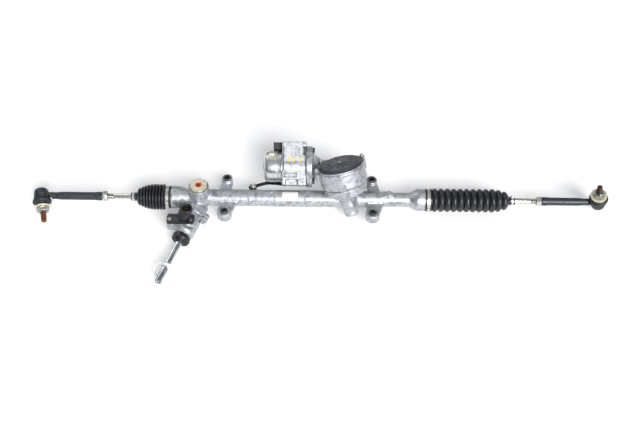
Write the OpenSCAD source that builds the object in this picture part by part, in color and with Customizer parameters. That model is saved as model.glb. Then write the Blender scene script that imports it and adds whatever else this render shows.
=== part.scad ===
// Steering rack with an input pinion, an electric assist pinion and two tie rods.
// Millimetres. The rack slides along X and the mounting bolts run along Z.
// The origin is the centre of the front left mounting ear, at the height of the rack.

/* [Mounting] */
// Distance between left and right mounting holes
mount_spacing = 336; // [320:1:360]
// Distance of the front mounting holes from the rack axis
front_reach = 46; // [44:0.5:54]
// Distance of the rear mounting holes from the rack axis
rear_reach = 49; // [46:0.5:54]
// Bore of the front sleeves
front_bore = 12; // [10:0.5:14]
// Bore of the rear sleeves
rear_bore = 13; // [10:0.5:14]
// Height of the front ears
front_ear_h = 22; // [18:1:26]
// Height of the rear lugs
rear_lug_h = 26; // [20:1:30]
// Outer radius of the front ears
front_ear_r = 16.5; // [15:0.5:18]
// Outer radius of the rear lugs
rear_lug_r = 12.5; // [12:0.5:14]
// Wall of the steel sleeves
sleeve_wall = 2; // [1.5:0.25:2.5]

/* [Rack bar] */
// Diameter of the rack bar
rack_d = 25; // [24:0.25:25.5]
// Rack position of the left ball centre
left_ball_x = -142; // [-146:1:-140]
// Rack position of the right ball centre
right_ball_x = 588; // [584:1:592]
// Furthest travel of the rack to the left
travel_left = 125; // [100:1:126]
// Furthest travel of the rack to the right
travel_right = 22; // [10:1:24]
// Distance from the rack axis to the tops of the teeth
tooth_top = 9.2; // [9:0.05:9.4]

/* [Gears] */
// Module of the rack teeth
tooth_module = 1.8; // [1.7:0.05:1.9]
// Number of teeth on each pinion
pinion_teeth = 9; // [9:1:10]
// Pressure angle of the rack teeth
pressure_angle = 25; // [24:1:26]
// Tooth height above the pitch line, as a share of the module
addendum_share = 0.8; // [0.7:0.05:0.8]
// Tooth depth below the pitch line, as a share of the module
dedendum_share = 1.0; // [0.95:0.05:1.1]
// Play between meshing flanks
backlash = 0.24; // [0.16:0.02:0.36]
// Module of the worm wheel
worm_module = 2; // [1.95:0.05:2.05]
// Teeth on the worm wheel
wheel_teeth = 44; // [42:1:45]
// Threads on the worm
worm_starts = 2; // [2:1:2]
// Lead angle of the worm, equal to the slant of the assist pinion
worm_lead = 13.5; // [12:0.5:14]

/* [Housing] */
// Outer diameter of the main tube
tube_d = 37.5; // [36:0.5:39]
// Outer diameter of the right tube
right_tube_d = 33; // [32:0.5:35]
// Bore along the tube
tube_bore = 27; // [26.5:0.25:27.5]
// Outer diameter of the left bell
left_bell_d = 53; // [52:0.5:55]
// Outer diameter of the right bell
right_bell_d = 51; // [50:0.5:53]
// Bore of both bells, for the ball sockets
bell_bore = 43; // [42:0.5:44]
// Left end of the housing
housing_left = -124; // [-126:1:-122]
// Right end of the housing
housing_right = 470; // [468:1:474]

/* [Input pinion] */
// Position of the input pinion along the rack
input_x = -59; // [-60:0.5:-58]
// Slant of the input shaft from square to the rack
input_slant = 18; // [17:0.5:19]
// Length from the rack to the dust cover
cover_reach = 118; // [116:1:122]
// Length from the rack to the end of the input shaft
shaft_reach = 236; // [225:1:245]
// Diameter of the input shaft
shaft_d = 15.5; // [15:0.25:16]
// Diameter of the dust cover
dust_cover_d = 41.5; // [40:0.5:43]

/* [Assist drive] */
// Position of the assist pinion along the rack
assist_x = 283; // [281:0.5:285]
// Lean of the assist pinion from the mounting bolts
assist_lean = 27.5; // [26:0.5:29]
// Distance of the worm wheel along the assist pinion
wheel_reach = 66; // [65:0.5:68]
// Outer diameter of the worm wheel drum
drum_d = 107; // [106:0.5:108]
// Diameter of the motor can
motor_d = 73.5; // [70:0.5:75]
// Left end of the motor can
motor_left = 86; // [80:1:90]
// Length of the motor can
can_length = 43; // [40:1:46]
// Length of the controller housing
controller_length = 55; // [52:1:58]

/* [Bellows] */
// Outer diameter of the left bellows
left_bellows_d = 60; // [58:0.5:62]
// Outer diameter of the right bellows
right_bellows_d = 54.5; // [53:0.5:57]
// Length of the left bellows as the rack rests
left_bellows_length = 92; // [88:1:96]
// Length of the right bellows as the rack rests
right_bellows_length = 205; // [200:1:210]
// Thickness of the rubber
bellows_wall = 1.6; // [1.4:0.1:1.8]

/* [Tie rods] */
// Distance between the ball centres of the left tie rod
left_rod_length = 282; // [276:1:290]
// Distance between the ball centres of the right tie rod
right_rod_length = 268; // [264:1:276]
// Diameter of the inner rods
inner_rod_d = 13.8; // [13:0.2:14.4]
// Diameter of the inner balls
inner_ball_d = 26; // [25:0.5:26.5]
// Diameter of the outer balls
outer_ball_d = 23; // [22:0.5:23.5]
// Lean of the outer ball studs towards the middle, in degrees
stud_lean = 12; // [0:1:14]
// Diameter of the forged arms
arm_d = 18.4; // [17:0.2:19]
// Diameter of the ball studs' threaded ends
stud_d = 12; // [11.5:0.25:13]
// Angle that a tie rod can swing either way
rod_swing = 18; // [10:1:20]
// Angle that a stud can tilt either way
stud_swing = 16; // [10:1:18]

/* [Fits] */
// Gap round a shaft that turns in a bearing
running_gap = 0.05; // [0.02:0.01:0.1]
// Gap between ball and seat
ball_gap = 0.25; // [0.2:0.05:0.35]
// Gap between loose neighbours
loose_gap = 0.3; // [0.3:0.05:0.5]

/* [Hidden] */
$fn = 48;
tiny = 0.01;
face_step = 0.3;

// Mesh of the pinions with the rack
pitch_r = tooth_module * pinion_teeth / 2;
addendum = tooth_module * addendum_share;
dedendum = tooth_module * dedendum_share;
pitch_line = tooth_top - addendum;
mesh = pitch_line + pitch_r;
pinion_tip = pitch_r + addendum;
pinion_root = pitch_r - dedendum;
rack_r = rack_d / 2;
rack_left = left_ball_x + 20;
rack_right = right_ball_x - 20;

// Mesh of the worm with its wheel
wheel_r = worm_module * wheel_teeth / 2;
worm_r = worm_starts * worm_module / (2 * sin(worm_lead));
worm_distance = wheel_r + worm_r;
worm_pitch = PI * worm_module / cos(worm_lead);
worm_turn = worm_pitch * worm_starts;
worm_tip = worm_r + 0.85 * worm_module;
worm_root = worm_r - 1.1 * worm_module;
wheel_tip = wheel_r + 0.85 * worm_module;

// Place of the motor axis, from the drum
motor_y = -mesh * cos(assist_lean) + wheel_reach * cos(worm_lead) * sin(assist_lean)
    + worm_distance * cos(assist_lean);
motor_z = mesh * sin(assist_lean) + wheel_reach * cos(worm_lead) * cos(assist_lean)
    - worm_distance * sin(assist_lean);
worm_x = assist_x - wheel_reach * sin(worm_lead);

// Rows along the input shaft, measured from the rack
bearing_start = 20;
bearing_length = 12;
bearing_out_r = 17.5;
bearing_in_r = 10;
needle_r = 6;
needle_out_r = 9.5;
needle_start = 16;
needle_length = 11;
pinion_half = 15;
cavity_r = pinion_tip + 1.4;
torsion_r = 3;
sensor_start = 46;
sensor_r = 22.5;
sensor_cavity_r = 19;
seal_r = 15;
flange_lug_reach = 31;
lug_angle = 10;
pinion_head_r = 12.5;
pinion_head_end = 62;
input_end_r = 8;
spline_start = shaft_reach - 26;
spline_root_r = 6.2;
spline_r = 7.3;
spline_count = 24;
loop_offset = 5.7;
loop_at = shaft_reach - 32;
loop_tilt = -45;
loop_r = 17;
loop_wire = 3;
platform_x = input_x - 67;
platform_y = -84;
platform_low = -14;
platform_l = 60;
platform_w = 32;
platform_top = 7;
connector_x = input_x - 25;
connector_y = -65;
connector_r = 14;
connector_top = 42;
connector_plate_h = 3.5;
sensor_end = cover_reach - 12;

// Rows along the assist pinion, measured from the rack
drum_floor = wheel_reach - 18;
drum_inner = wheel_reach - 14;
drum_top = wheel_reach + 24;
cover_top = drum_top + 10;
wheel_half = 7;
hub_r = 11;
drum_inner_r = wheel_tip + 2.2;
dish_r = drum_d / 2 - 4;
top_journal_r = 8;
top_bearing_r = 13;
cover_angles = [24, 140, 190];
cover_boss_h = 5.2;
wheel_angle = 20;
worm_play = 0.3;

// Rows along the motor axis
can_end = motor_left + can_length;
controller_end = can_end + controller_length;
flange_length = 18;
flange_end = controller_end + flange_length;
worm_half = 22;
worm_journal_r = 5;
worm_bearing_r = 12;
worm_bearing_w = 7;
worm_tube_r = 17;
worm_tube_end = worm_x + worm_half + 18;
rotor_r = 18;
motor_bearing_r = 10;
can_inner_r = motor_d / 2 - 2.5;
flange_r = 47.5;
motor_pilot_r = 26;
controller_lean = 37;
controller_up = 54;
controller_down = 44;
controller_face = 37;
controller_back = 33;
stay_x = 62;
stay_y = motor_y - 36.2;
stay_z = motor_z - 31;
stay_length = can_end - stay_x + 9;

// Ball joints
seat_wall = 2.2;
seat_in_r = inner_ball_d / 2 + ball_gap;
seat_out_r = seat_in_r + seat_wall;
socket_in_r = seat_out_r + ball_gap;
socket_r = 19.5;
socket_back = 20;
socket_front = 14;
outer_seat_in_r = outer_ball_d / 2 + ball_gap;
outer_seat_out_r = outer_seat_in_r + 1.6;
outer_socket_in_r = outer_seat_out_r + ball_gap;
outer_house_r = 16.8;
outer_house_low = -15;
outer_house_top = 11;
nut_low = 30;
nut_h = 13;
stud_length = 66;
stud_root_r = stud_d / 2 - 0.6;
left_roll = 107;
right_roll = 7;
neck_length = 11;
neck_in_r = inner_rod_d / 2 + loose_gap;
neck_out_r = neck_in_r + 2.2;
clip_w = 6;
band_w = 7;
fold_depth = 5.2;
left_folds = 8;
right_folds = 12;
jam_nut_w = 11;
jam_nut_flats = 21;
thread_in_arm = 16;
left_jam = 141;
right_jam = 132;
socket_stub_r = 8;
socket_stub_length = 18;
mouth_angle = 50;
outer_mouth = 52;
rod_neck_r = 5.8;
thread_shown = 26;
nut_ring_r = 18.5;
stud_taper_r = 7.2;

// Places that follow from the sizes above
spigot_left = housing_left - 13;
left_socket_depth = left_ball_x + travel_right + socket_back + 4;
right_socket_depth = right_ball_x - travel_left - socket_back - 5;
spigot_r = bell_bore / 2 + 2.2;
yoke_r = 16;
yoke_plug_r = 19.8;
yoke_insert_r = 7.2;
yoke_tower_r = 23;
yoke_tower_top = 41;
rear_tower_top = 38;
yoke_top = 30;
plug_h = 9;
left_neck_at = left_ball_x - (housing_left - 1 - left_bellows_length) - neck_length / 2;
right_neck_at = housing_right - 12 + right_bellows_length - right_ball_x - neck_length / 2;

// Frames in which the pieces are drawn
module on_rack() translate([0, front_reach, 0]) children();

module along_rack(x) on_rack() translate([x, 0, 0]) rotate([0, 90, 0]) children();

module at_pinion(x, turn, slant)
    on_rack() translate([x, 0, 0]) rotate([turn, 0, 0]) translate([0, -mesh, 0]) rotate([0, -slant, 0]) children();

module at_input() at_pinion(input_x, 90, input_slant) children();

module at_assist() at_pinion(assist_x, -assist_lean, worm_lead) children();

module at_motor(x) on_rack() translate([x, motor_y, motor_z]) rotate([0, 90, 0]) children();

// Plain turned shapes
module rod(r, from, to) translate([0, 0, from]) cylinder(r = r, h = to - from);

module ring(r_out, r_in, from, to) difference() {
    rod(r_out, from, to);
    rod(r_in, from - 1, to + 1);
}

// Involute of a tooth flank, as the half angle of the tooth at radius r
function inv(a) = tan(a) * 180 / PI - a;
function flank(r, base, half, alpha) = half + inv(alpha) - inv(acos(min(1, base / r)));

// Outline of a spur gear with one tooth centred on +Y
module gear_outline(m, teeth, alpha, tip, root, play) {
    r0 = m * teeth / 2;
    base = r0 * cos(alpha);
    half = 90 / teeth - play / r0 * 45 / PI;
    start = max(base, root);
    steps = 4;
    radii = [for (i = [0 : steps]) start + (tip - start) * i / steps];
    right = [for (r = radii) [r, flank(r, base, half, alpha)]];
    low = [root, flank(start, base, half, alpha)];
    tooth = concat([low], right);
    points = [
        for (t = [0 : teeth - 1])
            let (a0 = 90 + t * 360 / teeth)
            for (p = concat(
                [for (q = tooth) [q[0], a0 - q[1]]],
                [for (i = [len(tooth) - 1 : -1 : 0]) [tooth[i][0], a0 + tooth[i][1]]]
            )) [p[0] * cos(p[1]), p[0] * sin(p[1])]
    ];
    polygon(points);
}

// Rack teeth: the flat face and the slanted grooves that the pinion runs in
module tooth_cuts(x, turn, slant) {
    pitch = PI * tooth_module / cos(slant);
    zone_low = -travel_right - 16;
    zone_high = travel_left + 16;
    slope = tan(pressure_angle);
    half = PI * tooth_module / 4 + backlash / 4;
    over = 1;
    translate([x, 0, 0]) rotate([turn, 0, 0]) {
        translate([zone_low, -rack_d, -rack_d])
            cube([zone_high - zone_low, rack_d - tooth_top, 2 * rack_d]);
        for (k = [ceil((zone_low + 3) / pitch) : floor((zone_high - 3) / pitch)])
            translate([k * pitch, -pitch_line, 0]) rotate([0, -slant, 0])
                linear_extrude(height = 2 * rack_d, center = true) polygon([
                    [-half - (addendum + over) * slope, -addendum - over],
                    [half + (addendum + over) * slope, -addendum - over],
                    [half - dedendum * slope, dedendum],
                    [-half + dedendum * slope, dedendum]
                ]);
    }
}

// Revolves [along, radius] points about the X axis
module turned_x(points) rotate([0, 90, 0]) rotate_extrude() polygon([for (p = points) [p[1], p[0]]]);

// Revolves [along, radius] points about the Z axis
module turned_z(points) rotate_extrude() polygon([for (p = points) [p[1], p[0]]]);

// Housing casting
module tube_body() on_rack() turned_x([
    [spigot_left, 0], [spigot_left, spigot_r], [housing_left, spigot_r],
    [housing_left, left_bell_d / 2 - 1.5], [housing_left + 1.5, left_bell_d / 2],
    [housing_left + 22, left_bell_d / 2 - 1], [housing_left + 38, tube_d / 2],
    [mount_spacing + 22, tube_d / 2], [mount_spacing + 27, right_tube_d / 2],
    [housing_right - 48, right_tube_d / 2], [housing_right - 36, right_bell_d / 2 - 2],
    [housing_right - 32, right_bell_d / 2], [housing_right - 15, right_bell_d / 2],
    [housing_right - 13, right_bell_d / 2 - 1.5], [housing_right - 13, spigot_r],
    [housing_right, spigot_r], [housing_right, 0]
]);

// A web of even thickness from an ear to the tube
module ear_web(reach, ear_r, spread, lean, thick) {
    side = reach > 0 ? 1 : -1;
    translate([0, 0, -thick / 2]) linear_extrude(height = thick) polygon([
        [-ear_r, reach], [ear_r, reach],
        [spread + lean, side * tube_d / 4], [-spread + lean, side * tube_d / 4]
    ]);
}

module front_ear(lean) {
    rod(front_ear_r, -front_ear_h / 2, front_ear_h / 2);
    translate([0, front_reach, 0]) ear_web(-front_reach, front_ear_r - 1, 20, lean, front_ear_h * 0.55);
}

module rear_lug(lean) {
    rod(rear_lug_r, -rear_lug_h / 2, rear_lug_h / 2);
    translate([0, -rear_reach, 0]) ear_web(rear_reach, rear_lug_r - 1, 15, lean, rear_lug_h * 0.5);
}

module bell_cavities() on_rack() turned_x([
    [spigot_left - 1, 0], [spigot_left - 1, bell_bore / 2], [left_socket_depth, bell_bore / 2],
    [left_socket_depth + 4, tube_bore / 2], [right_socket_depth - 4, tube_bore / 2],
    [right_socket_depth, bell_bore / 2], [housing_right + 1, bell_bore / 2], [housing_right + 1, 0]
]);

module pinion_tower(bearing_wall) {
    rod(needle_out_r + 7, -needle_start - needle_length - 4, 0);
    rod(cavity_r + 7, -needle_start + 2, bearing_start);
    rod(bearing_wall, bearing_start - 8, bearing_start + bearing_length);
}

module pinion_cavity(open_end) {
    rod(needle_out_r, -needle_start - needle_length, 0);
    rod(cavity_r, -needle_start, bearing_start + 1);
    rod(bearing_out_r, bearing_start, open_end);
}

module rack_housing() color("silver") difference() {
    union() {
        tube_body();
        translate([0, 0, 0]) front_ear(8);
        translate([mount_spacing, 0, 0]) front_ear(9);
        translate([0, front_reach + rear_reach, 0]) rear_lug(-4);
        translate([mount_spacing, front_reach + rear_reach, 0]) rear_lug(6);
        on_rack() translate([input_x, 0, 0]) rod(yoke_tower_r, 0, yoke_tower_top);
        on_rack() translate([assist_x, 0, 0]) rotate([-assist_lean - 90, 0, 0])
            rod(yoke_tower_r - 1, 0, rear_tower_top);
        at_input() pinion_tower(bearing_out_r + 5.5);
        at_input() rod(bearing_out_r + 5.5, bearing_start, sensor_start);
        at_input() flange_lugs(sensor_start - 10, sensor_start - face_step);
        at_assist() pinion_tower(bearing_out_r + 5);
        at_assist() turned_z([
            [bearing_start - 4, 0], [bearing_start - 4, bearing_out_r + 5], [bearing_start + 4, dish_r - 12],
            [bearing_start + 9, dish_r - 2], [drum_floor, dish_r], [drum_floor, 0]
        ]);
        on_rack() tube_details();
    }
    bell_cavities();
    translate([0, 0, -front_ear_h]) {
        cylinder(r = front_bore / 2 + sleeve_wall, h = 2 * front_ear_h);
        translate([mount_spacing, 0, 0]) cylinder(r = front_bore / 2 + sleeve_wall, h = 2 * front_ear_h);
    }
    translate([0, front_reach + rear_reach, -rear_lug_h]) {
        cylinder(r = rear_bore / 2 + sleeve_wall, h = 2 * rear_lug_h);
        translate([mount_spacing, 0, 0]) cylinder(r = rear_bore / 2 + sleeve_wall, h = 2 * rear_lug_h);
    }
    on_rack() translate([input_x, 0, 0]) {
        rod(yoke_r, 0, yoke_top + 3);
        rod(yoke_plug_r, yoke_tower_top - plug_h, yoke_tower_top + 1);
    }
    on_rack() translate([assist_x, 0, 0]) rotate([-assist_lean - 90, 0, 0]) {
        rod(yoke_r, 0, yoke_top);
        rod(yoke_plug_r - 1, rear_tower_top - plug_h, rear_tower_top + 1);
    }
    at_input() pinion_cavity(sensor_start + 1);
    at_input() flange_holes(sensor_start - 8, sensor_start + 1);
    at_assist() pinion_cavity(drum_floor + 1);
    at_motor(0) rod(worm_tube_r + loose_gap, flange_end, worm_tube_end + 5);
}

// Small forms cast on the tube
module tube_details() {
    boss_x = 375;
    for (a = [-35, 145]) rotate([a, 0, 0])
        translate([housing_left + 40, -1.5, 0]) cube([mount_spacing - housing_left - 26, 3, tube_d / 2 + 1.1]);
    for (x = [56, 116, 184]) turned_x([
        [x - 2, 0], [x - 2, tube_d / 2 + 0.6], [x + 2, tube_d / 2 + 0.6], [x + 2, 0]
    ]);
    translate([boss_x, 0, 0]) rod(7.5, 0, 24);
    translate([mount_spacing + 20, -9, 12]) cube([18, 18, 8]);
    translate([stay_x, stay_y, 0]) rod(8, -7, stay_z);
    for (x = [spigot_left + 2, housing_right - 4]) turned_x([
        [x, 0], [x, spigot_r + 0.5], [x + 2, spigot_r + 0.5], [x + 2, 0]
    ]);
}

module mount_sleeves() color("gainsboro") {
    for (x = [0, mount_spacing]) translate([x, 0, 0])
        ring(front_bore / 2 + sleeve_wall, front_bore / 2, -front_ear_h / 2 - 1, front_ear_h / 2 + 1);
    for (x = [0, mount_spacing]) translate([x, front_reach + rear_reach, 0])
        ring(rear_bore / 2 + sleeve_wall, rear_bore / 2, -rear_lug_h / 2 - 1, rear_lug_h / 2 + 1);
}

module rack_bushing() color("ivory") along_rack(right_socket_depth - 26)
    ring(tube_bore / 2, rack_d / 2 + running_gap, 0, 18);

// Support yoke, sliding square to the rack and carrying it on a curved saddle
module yoke_body(top) difference() {
    rod(yoke_r - running_gap, 4, top);
    rotate([0, 90, 0]) rod(rack_r + running_gap, -yoke_r - 1, yoke_r + 1);
    rod(yoke_r - 7, top - 8, top + 1);
}

module support_yoke() color("lightgray") on_rack() translate([input_x, 0, 0]) yoke_body(yoke_top - 1);

module at_rear_yoke() on_rack() translate([assist_x, 0, 0]) rotate([-assist_lean - 90, 0, 0]) children();

module rear_yoke() color("lightgray") at_rear_yoke() yoke_body(yoke_top - 4);

// Closely wound spring, drawn as stacked rings joined by a thin wall
module pressed_spring(r, wire, from, to) {
    turns = round((to - from) / (wire * 1.5));
    step = (to - from) / turns;
    turned_z(concat(
        [[from, r - wire / 2]],
        [for (i = [0 : turns - 1]) each [
            [from + i * step + step * 0.1, r + wire / 2],
            [from + i * step + step * 0.6, r + wire / 2],
            [from + i * step + step * 0.8, r]
        ]],
        [[to, r], [to, r - wire / 2]]
    ));
}

module yoke_springs() color("darkgray") {
    on_rack() translate([input_x, 0, 0]) pressed_spring(6, 2.4, yoke_top - 9, yoke_tower_top - plug_h + 1);
    at_rear_yoke() pressed_spring(6, 2.4, yoke_top - 12, rear_tower_top - plug_h);
}

// Threaded plug with an octagonal drive rim
module plug_body(r, low, top) difference() {
    union() {
        rod(r - 0.1, low, top - 3);
        rod(r - 0.6, top - 3, top);
    }
    rod(yoke_insert_r + 0.3, top - 4, top + 1);
    for (a = [0 : 45 : 315]) rotate([0, 0, a]) translate([r - 2.6, -1, top - 2.5]) cube([4, 2, 4]);
}

module yoke_plug() color("wheat") on_rack() translate([input_x, 0, 0])
    plug_body(yoke_plug_r, yoke_tower_top - plug_h + 1, yoke_tower_top + 4);

module yoke_insert() color("orangered") on_rack() translate([input_x, 0, 0]) difference() {
    rod(yoke_insert_r, yoke_tower_top, yoke_tower_top + 3.6);
    translate([0, 0, yoke_tower_top + 1]) cylinder(r = 4, h = 6, $fn = 6);
}

module rear_yoke_plug() color("wheat") at_rear_yoke()
    plug_body(yoke_plug_r - 1, rear_tower_top - plug_h, rear_tower_top + 3);

// Rack bar with a toothed zone for each pinion
module rack_bar() color("gainsboro") on_rack() difference() {
    turned_x([
        [rack_left, 0], [rack_left, rack_r - 1], [rack_left + 1, rack_r],
        [rack_right - 1, rack_r], [rack_right, rack_r - 1], [rack_right, 0]
    ]);
    tooth_cuts(input_x, 90, input_slant);
    tooth_cuts(assist_x, -assist_lean, worm_lead);
    translate([rack_left, 0, 0]) rotate([0, 90, 0]) rod(socket_stub_r, -1, socket_stub_length);
    translate([rack_right, 0, 0]) rotate([0, -90, 0]) rod(socket_stub_r, -1, socket_stub_length);
}

// Frames of the inner balls, with +Z pointing out along the tie rod
module at_left_ball() on_rack() translate([left_ball_x, 0, 0]) rotate([0, -90, 0]) children();

module at_right_ball() on_rack() translate([right_ball_x, 0, 0]) rotate([0, 90, 0]) children();

// Steel socket of an inner ball joint, with wrench flats at its back
module inner_socket() color("dimgray") difference() {
    union() {
        turned_z([
            [-socket_back, 0], [-socket_back, socket_r - 4], [-socket_back + 3, socket_r - 2],
            [-8, socket_r - 1], [-4, socket_r], [socket_front - 4, socket_r],
            [socket_front, socket_r - 2.5], [socket_front, 0]
        ]);
        rod(socket_stub_r - running_gap, -socket_back - socket_stub_length + 1, -socket_back + 1);
    }
    sphere(r = socket_in_r);
    cylinder(r1 = 0, r2 = socket_front * tan(mouth_angle) + 3, h = socket_front + 2);
    for (a = [0, 180]) rotate([0, 0, a]) translate([-20, socket_r - 3, -socket_back - 1]) cube([40, 10, 10]);
}

module left_inner_socket() at_left_ball() inner_socket();

module right_inner_socket() at_right_ball() inner_socket();

// Plastic seat that grips a ball, open towards the rod
module ball_seat(in_r, out_r, open) color("ivory") difference() {
    sphere(r = out_r);
    sphere(r = in_r);
    cylinder(r1 = 0, r2 = 2 * out_r * tan(open), h = 2 * out_r);
}

module left_ball_seat() at_left_ball() ball_seat(seat_in_r, seat_out_r, mouth_angle);

module right_ball_seat() at_right_ball() ball_seat(seat_in_r, seat_out_r, mouth_angle);

// Inner rod: ball, neck, plain shank and the thread that enters the outer end
module inner_rod(length) color("silver") {
    reach = length + thread_in_arm;
    union() {
        sphere(r = inner_ball_d / 2);
        turned_z([
            [0, 0], [0, rod_neck_r], [20, rod_neck_r], [27, inner_rod_d / 2],
            [length - thread_shown - 1, inner_rod_d / 2], [length - thread_shown, inner_rod_d / 2 - 0.6],
            [reach - 1, inner_rod_d / 2 - 0.6], [reach, inner_rod_d / 2 - 1.6], [reach, 0]
        ]);
    }
}

module left_inner_rod() at_left_ball() inner_rod(left_rod_length - left_jam);

module right_inner_rod() at_right_ball() inner_rod(right_rod_length - right_jam);

module bellows_clip(at) color("gray") ring(neck_out_r + 1.4, neck_out_r + 0.25, at - clip_w / 2, at + clip_w / 2);

module left_bellows_clip() at_left_ball() bellows_clip(left_neck_at);

module right_bellows_clip() at_right_ball() bellows_clip(right_neck_at);

module jam_nut(from) color("darkgray") difference() {
    intersection() {
        rotate([0, 0, 30]) translate([0, 0, from])
            cylinder(r = jam_nut_flats / 2 / cos(30), h = jam_nut_w, $fn = 6);
        turned_z([
            [from, 0], [from, jam_nut_flats / 2], [from + 2, jam_nut_flats / 2 + 1.3],
            [from + jam_nut_w - 2, jam_nut_flats / 2 + 1.3], [from + jam_nut_w, jam_nut_flats / 2],
            [from + jam_nut_w, 0]
        ]);
    }
    rod(inner_rod_d / 2 - 0.6 + running_gap, from - 1, from + jam_nut_w + 1);
}

module left_jam_nut() at_left_ball() jam_nut(left_rod_length - left_jam - jam_nut_w - 0.2);

module right_jam_nut() at_right_ball() jam_nut(right_rod_length - right_jam - jam_nut_w - 0.2);

// Frames of the outer balls, with +Z pointing out along the stud
module at_left_stud() on_rack() translate([left_ball_x - left_rod_length, 0, 0]) rotate([left_roll, 0, 0])
    children();

module at_right_stud() on_rack() translate([right_ball_x + right_rod_length, 0, 0]) rotate([right_roll, 0, 0])
    children();

// Each outer ball joint leans towards the middle of the rack
module leaned(side) rotate([0, side * stud_lean, 0]) children();

// Forged outer end: ball housing, neck and threaded arm, with room for the boot's cuff
module tie_rod_end(arm) color("dimgray") difference() {
    union() {
        leaned(1) turned_z([
            [outer_house_low, 0], [outer_house_low, outer_house_r - 4], [outer_house_low + 3, outer_house_r - 1.5],
            [-6, outer_house_r], [5, outer_house_r], [6, outer_house_r - 1], [outer_house_top, outer_house_r - 1],
            [outer_house_top, 0]
        ]);
        difference() {
            rotate([0, 90, 0]) turned_z([
                [0, 0], [0, 9], [20, 8.2], [34, arm_d / 2 - 1.2], [46, arm_d / 2], [arm - 18, arm_d / 2],
                [arm - 12, arm_d / 2 + 0.8], [arm - 1, arm_d / 2 + 0.8], [arm, arm_d / 2], [arm, 0]
            ]);
            leaned(1) rod(outer_house_r + 6, 6, 30);
        }
    }
    sphere(r = outer_socket_in_r);
    rotate([0, 90, 0]) rod(inner_rod_d / 2 - 0.5, arm - thread_in_arm - 4, arm + 1);
    leaned(1) cylinder(r1 = 0, r2 = outer_house_top * tan(outer_mouth) + 2, h = outer_house_top + 1);
}

module left_tie_rod_end() at_left_stud() tie_rod_end(left_jam);

module right_tie_rod_end() at_right_stud() mirror([1, 0, 0]) tie_rod_end(right_jam);

module outer_boot() color("dimgray") {
    base = outer_house_r - 1;
    small = stud_taper_r + loose_gap;
    turned_z([
        [6.2, base + 0.05], [6.2, base + 1.8], [10.5, base + 2.2], [12, base + 4.5], [16, base + 5.4], [20, base + 3.5],
        [23, small + 4], [26, small + 2], [27, small + 2], [27, small], [24.5, small], [22, small + 2],
        [19, base + 1.6], [16, base + 3.6], [12.8, base + 2.8], [11.2, base + 0.05]
    ]);
}

module left_outer_boot() at_left_stud() leaned(1) outer_boot();

module right_outer_boot() at_right_stud() leaned(-1) outer_boot();

module left_stud_seat() at_left_stud() leaned(1) ball_seat(outer_seat_in_r, outer_seat_out_r, outer_mouth);

module right_stud_seat() at_right_stud() leaned(-1) ball_seat(outer_seat_in_r, outer_seat_out_r, outer_mouth);

module ball_stud() color("peru") difference() {
    union() {
        sphere(r = outer_ball_d / 2);
        turned_z([
            [0, 0], [0, 5.4], [13, 5.4], [16, stud_taper_r], [nut_low - 3, stud_taper_r], [nut_low, stud_root_r],
            [nut_low + nut_h + 1, stud_root_r], [nut_low + nut_h + 1, stud_d / 2],
            [stud_length - 2, stud_d / 2], [stud_length, stud_d / 2 - 1.6], [stud_length, 0]
        ]);
    }
    translate([0, 0, stud_length - 8]) rotate([90, 0, 0]) cylinder(r = 1.5, h = 2 * stud_d, center = true);
}

module left_ball_stud() at_left_stud() leaned(1) ball_stud();

module right_ball_stud() at_right_stud() leaned(-1) ball_stud();

// Slotted nut with the wide steel ring that presses on the knuckle
module stud_nut(flats) color("lightgray") difference() {
    union() {
        rod(nut_ring_r, nut_low - 2.5, nut_low);
        translate([0, 0, nut_low]) cylinder(r = flats / 2 / cos(30), h = nut_h - 4, $fn = 6);
        rod(flats / 2 - 1.5, nut_low, nut_low + nut_h);
    }
    rod(stud_taper_r, nut_low - 6, nut_low);
    rod(stud_root_r + running_gap, nut_low - 1, nut_low + nut_h + 1);
    for (a = [0, 60, 120]) rotate([0, 0, a])
        translate([-flats, -1.6, nut_low + nut_h - 4]) cube([2 * flats, 3.2, 5]);
}

module left_stud_nut() at_left_stud() leaned(1) stud_nut(24);

module right_stud_nut() at_right_stud() leaned(-1) stud_nut(22);

// Rubber bellows: cuff on the housing, even folds, and a neck on the rod
module bellows(length, folds, big_r, cuff_r) color("dimgray") {
    start = 14;
    end = length - neck_length - 4;
    step = (end - start) / folds;
    valley_r = big_r - fold_depth;
    outer = concat(
        [[0, cuff_r + bellows_wall], [start - 2, cuff_r + bellows_wall]],
        [for (i = [0 : folds - 1]) each [
            [start + i * step, valley_r],
            [start + (i + 0.35) * step, big_r],
            [start + (i + 0.65) * step, big_r]
        ]],
        [[end, valley_r], [end + 2, neck_out_r + 3], [end + 4, neck_out_r], [length, neck_out_r]]
    );
    inner = concat(
        [[length, neck_in_r], [end + 3, neck_in_r], [end, valley_r - bellows_wall]],
        [for (i = [folds - 1 : -1 : 0]) each [
            [start + (i + 0.65) * step, big_r - bellows_wall],
            [start + (i + 0.35) * step, big_r - bellows_wall],
            [start + i * step, valley_r - bellows_wall]
        ]],
        [[start - 1, cuff_r], [0, cuff_r]]
    );
    turned_z(concat(outer, inner));
}

module left_bellows() on_rack() translate([housing_left - 1, 0, 0]) rotate([0, -90, 0])
    bellows(left_bellows_length, left_folds, left_bellows_d / 2, spigot_r + 0.6);

module right_bellows() on_rack() translate([housing_right - 12, 0, 0]) rotate([0, 90, 0])
    bellows(right_bellows_length, right_folds, right_bellows_d / 2, spigot_r + 0.6);

module bellows_bands() color("silver") on_rack() {
    cuff = spigot_r + 0.6 + bellows_wall;
    for (x = [housing_left - 8, housing_right - 6]) translate([x, 0, 0]) rotate([0, 90, 0]) {
        ring(cuff + 1.2, cuff, -band_w / 2, band_w / 2);
        translate([-4, -cuff - 4.5, -band_w / 2 + 0.5]) cube([8, 4, band_w - 1]);
    }
}

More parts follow.
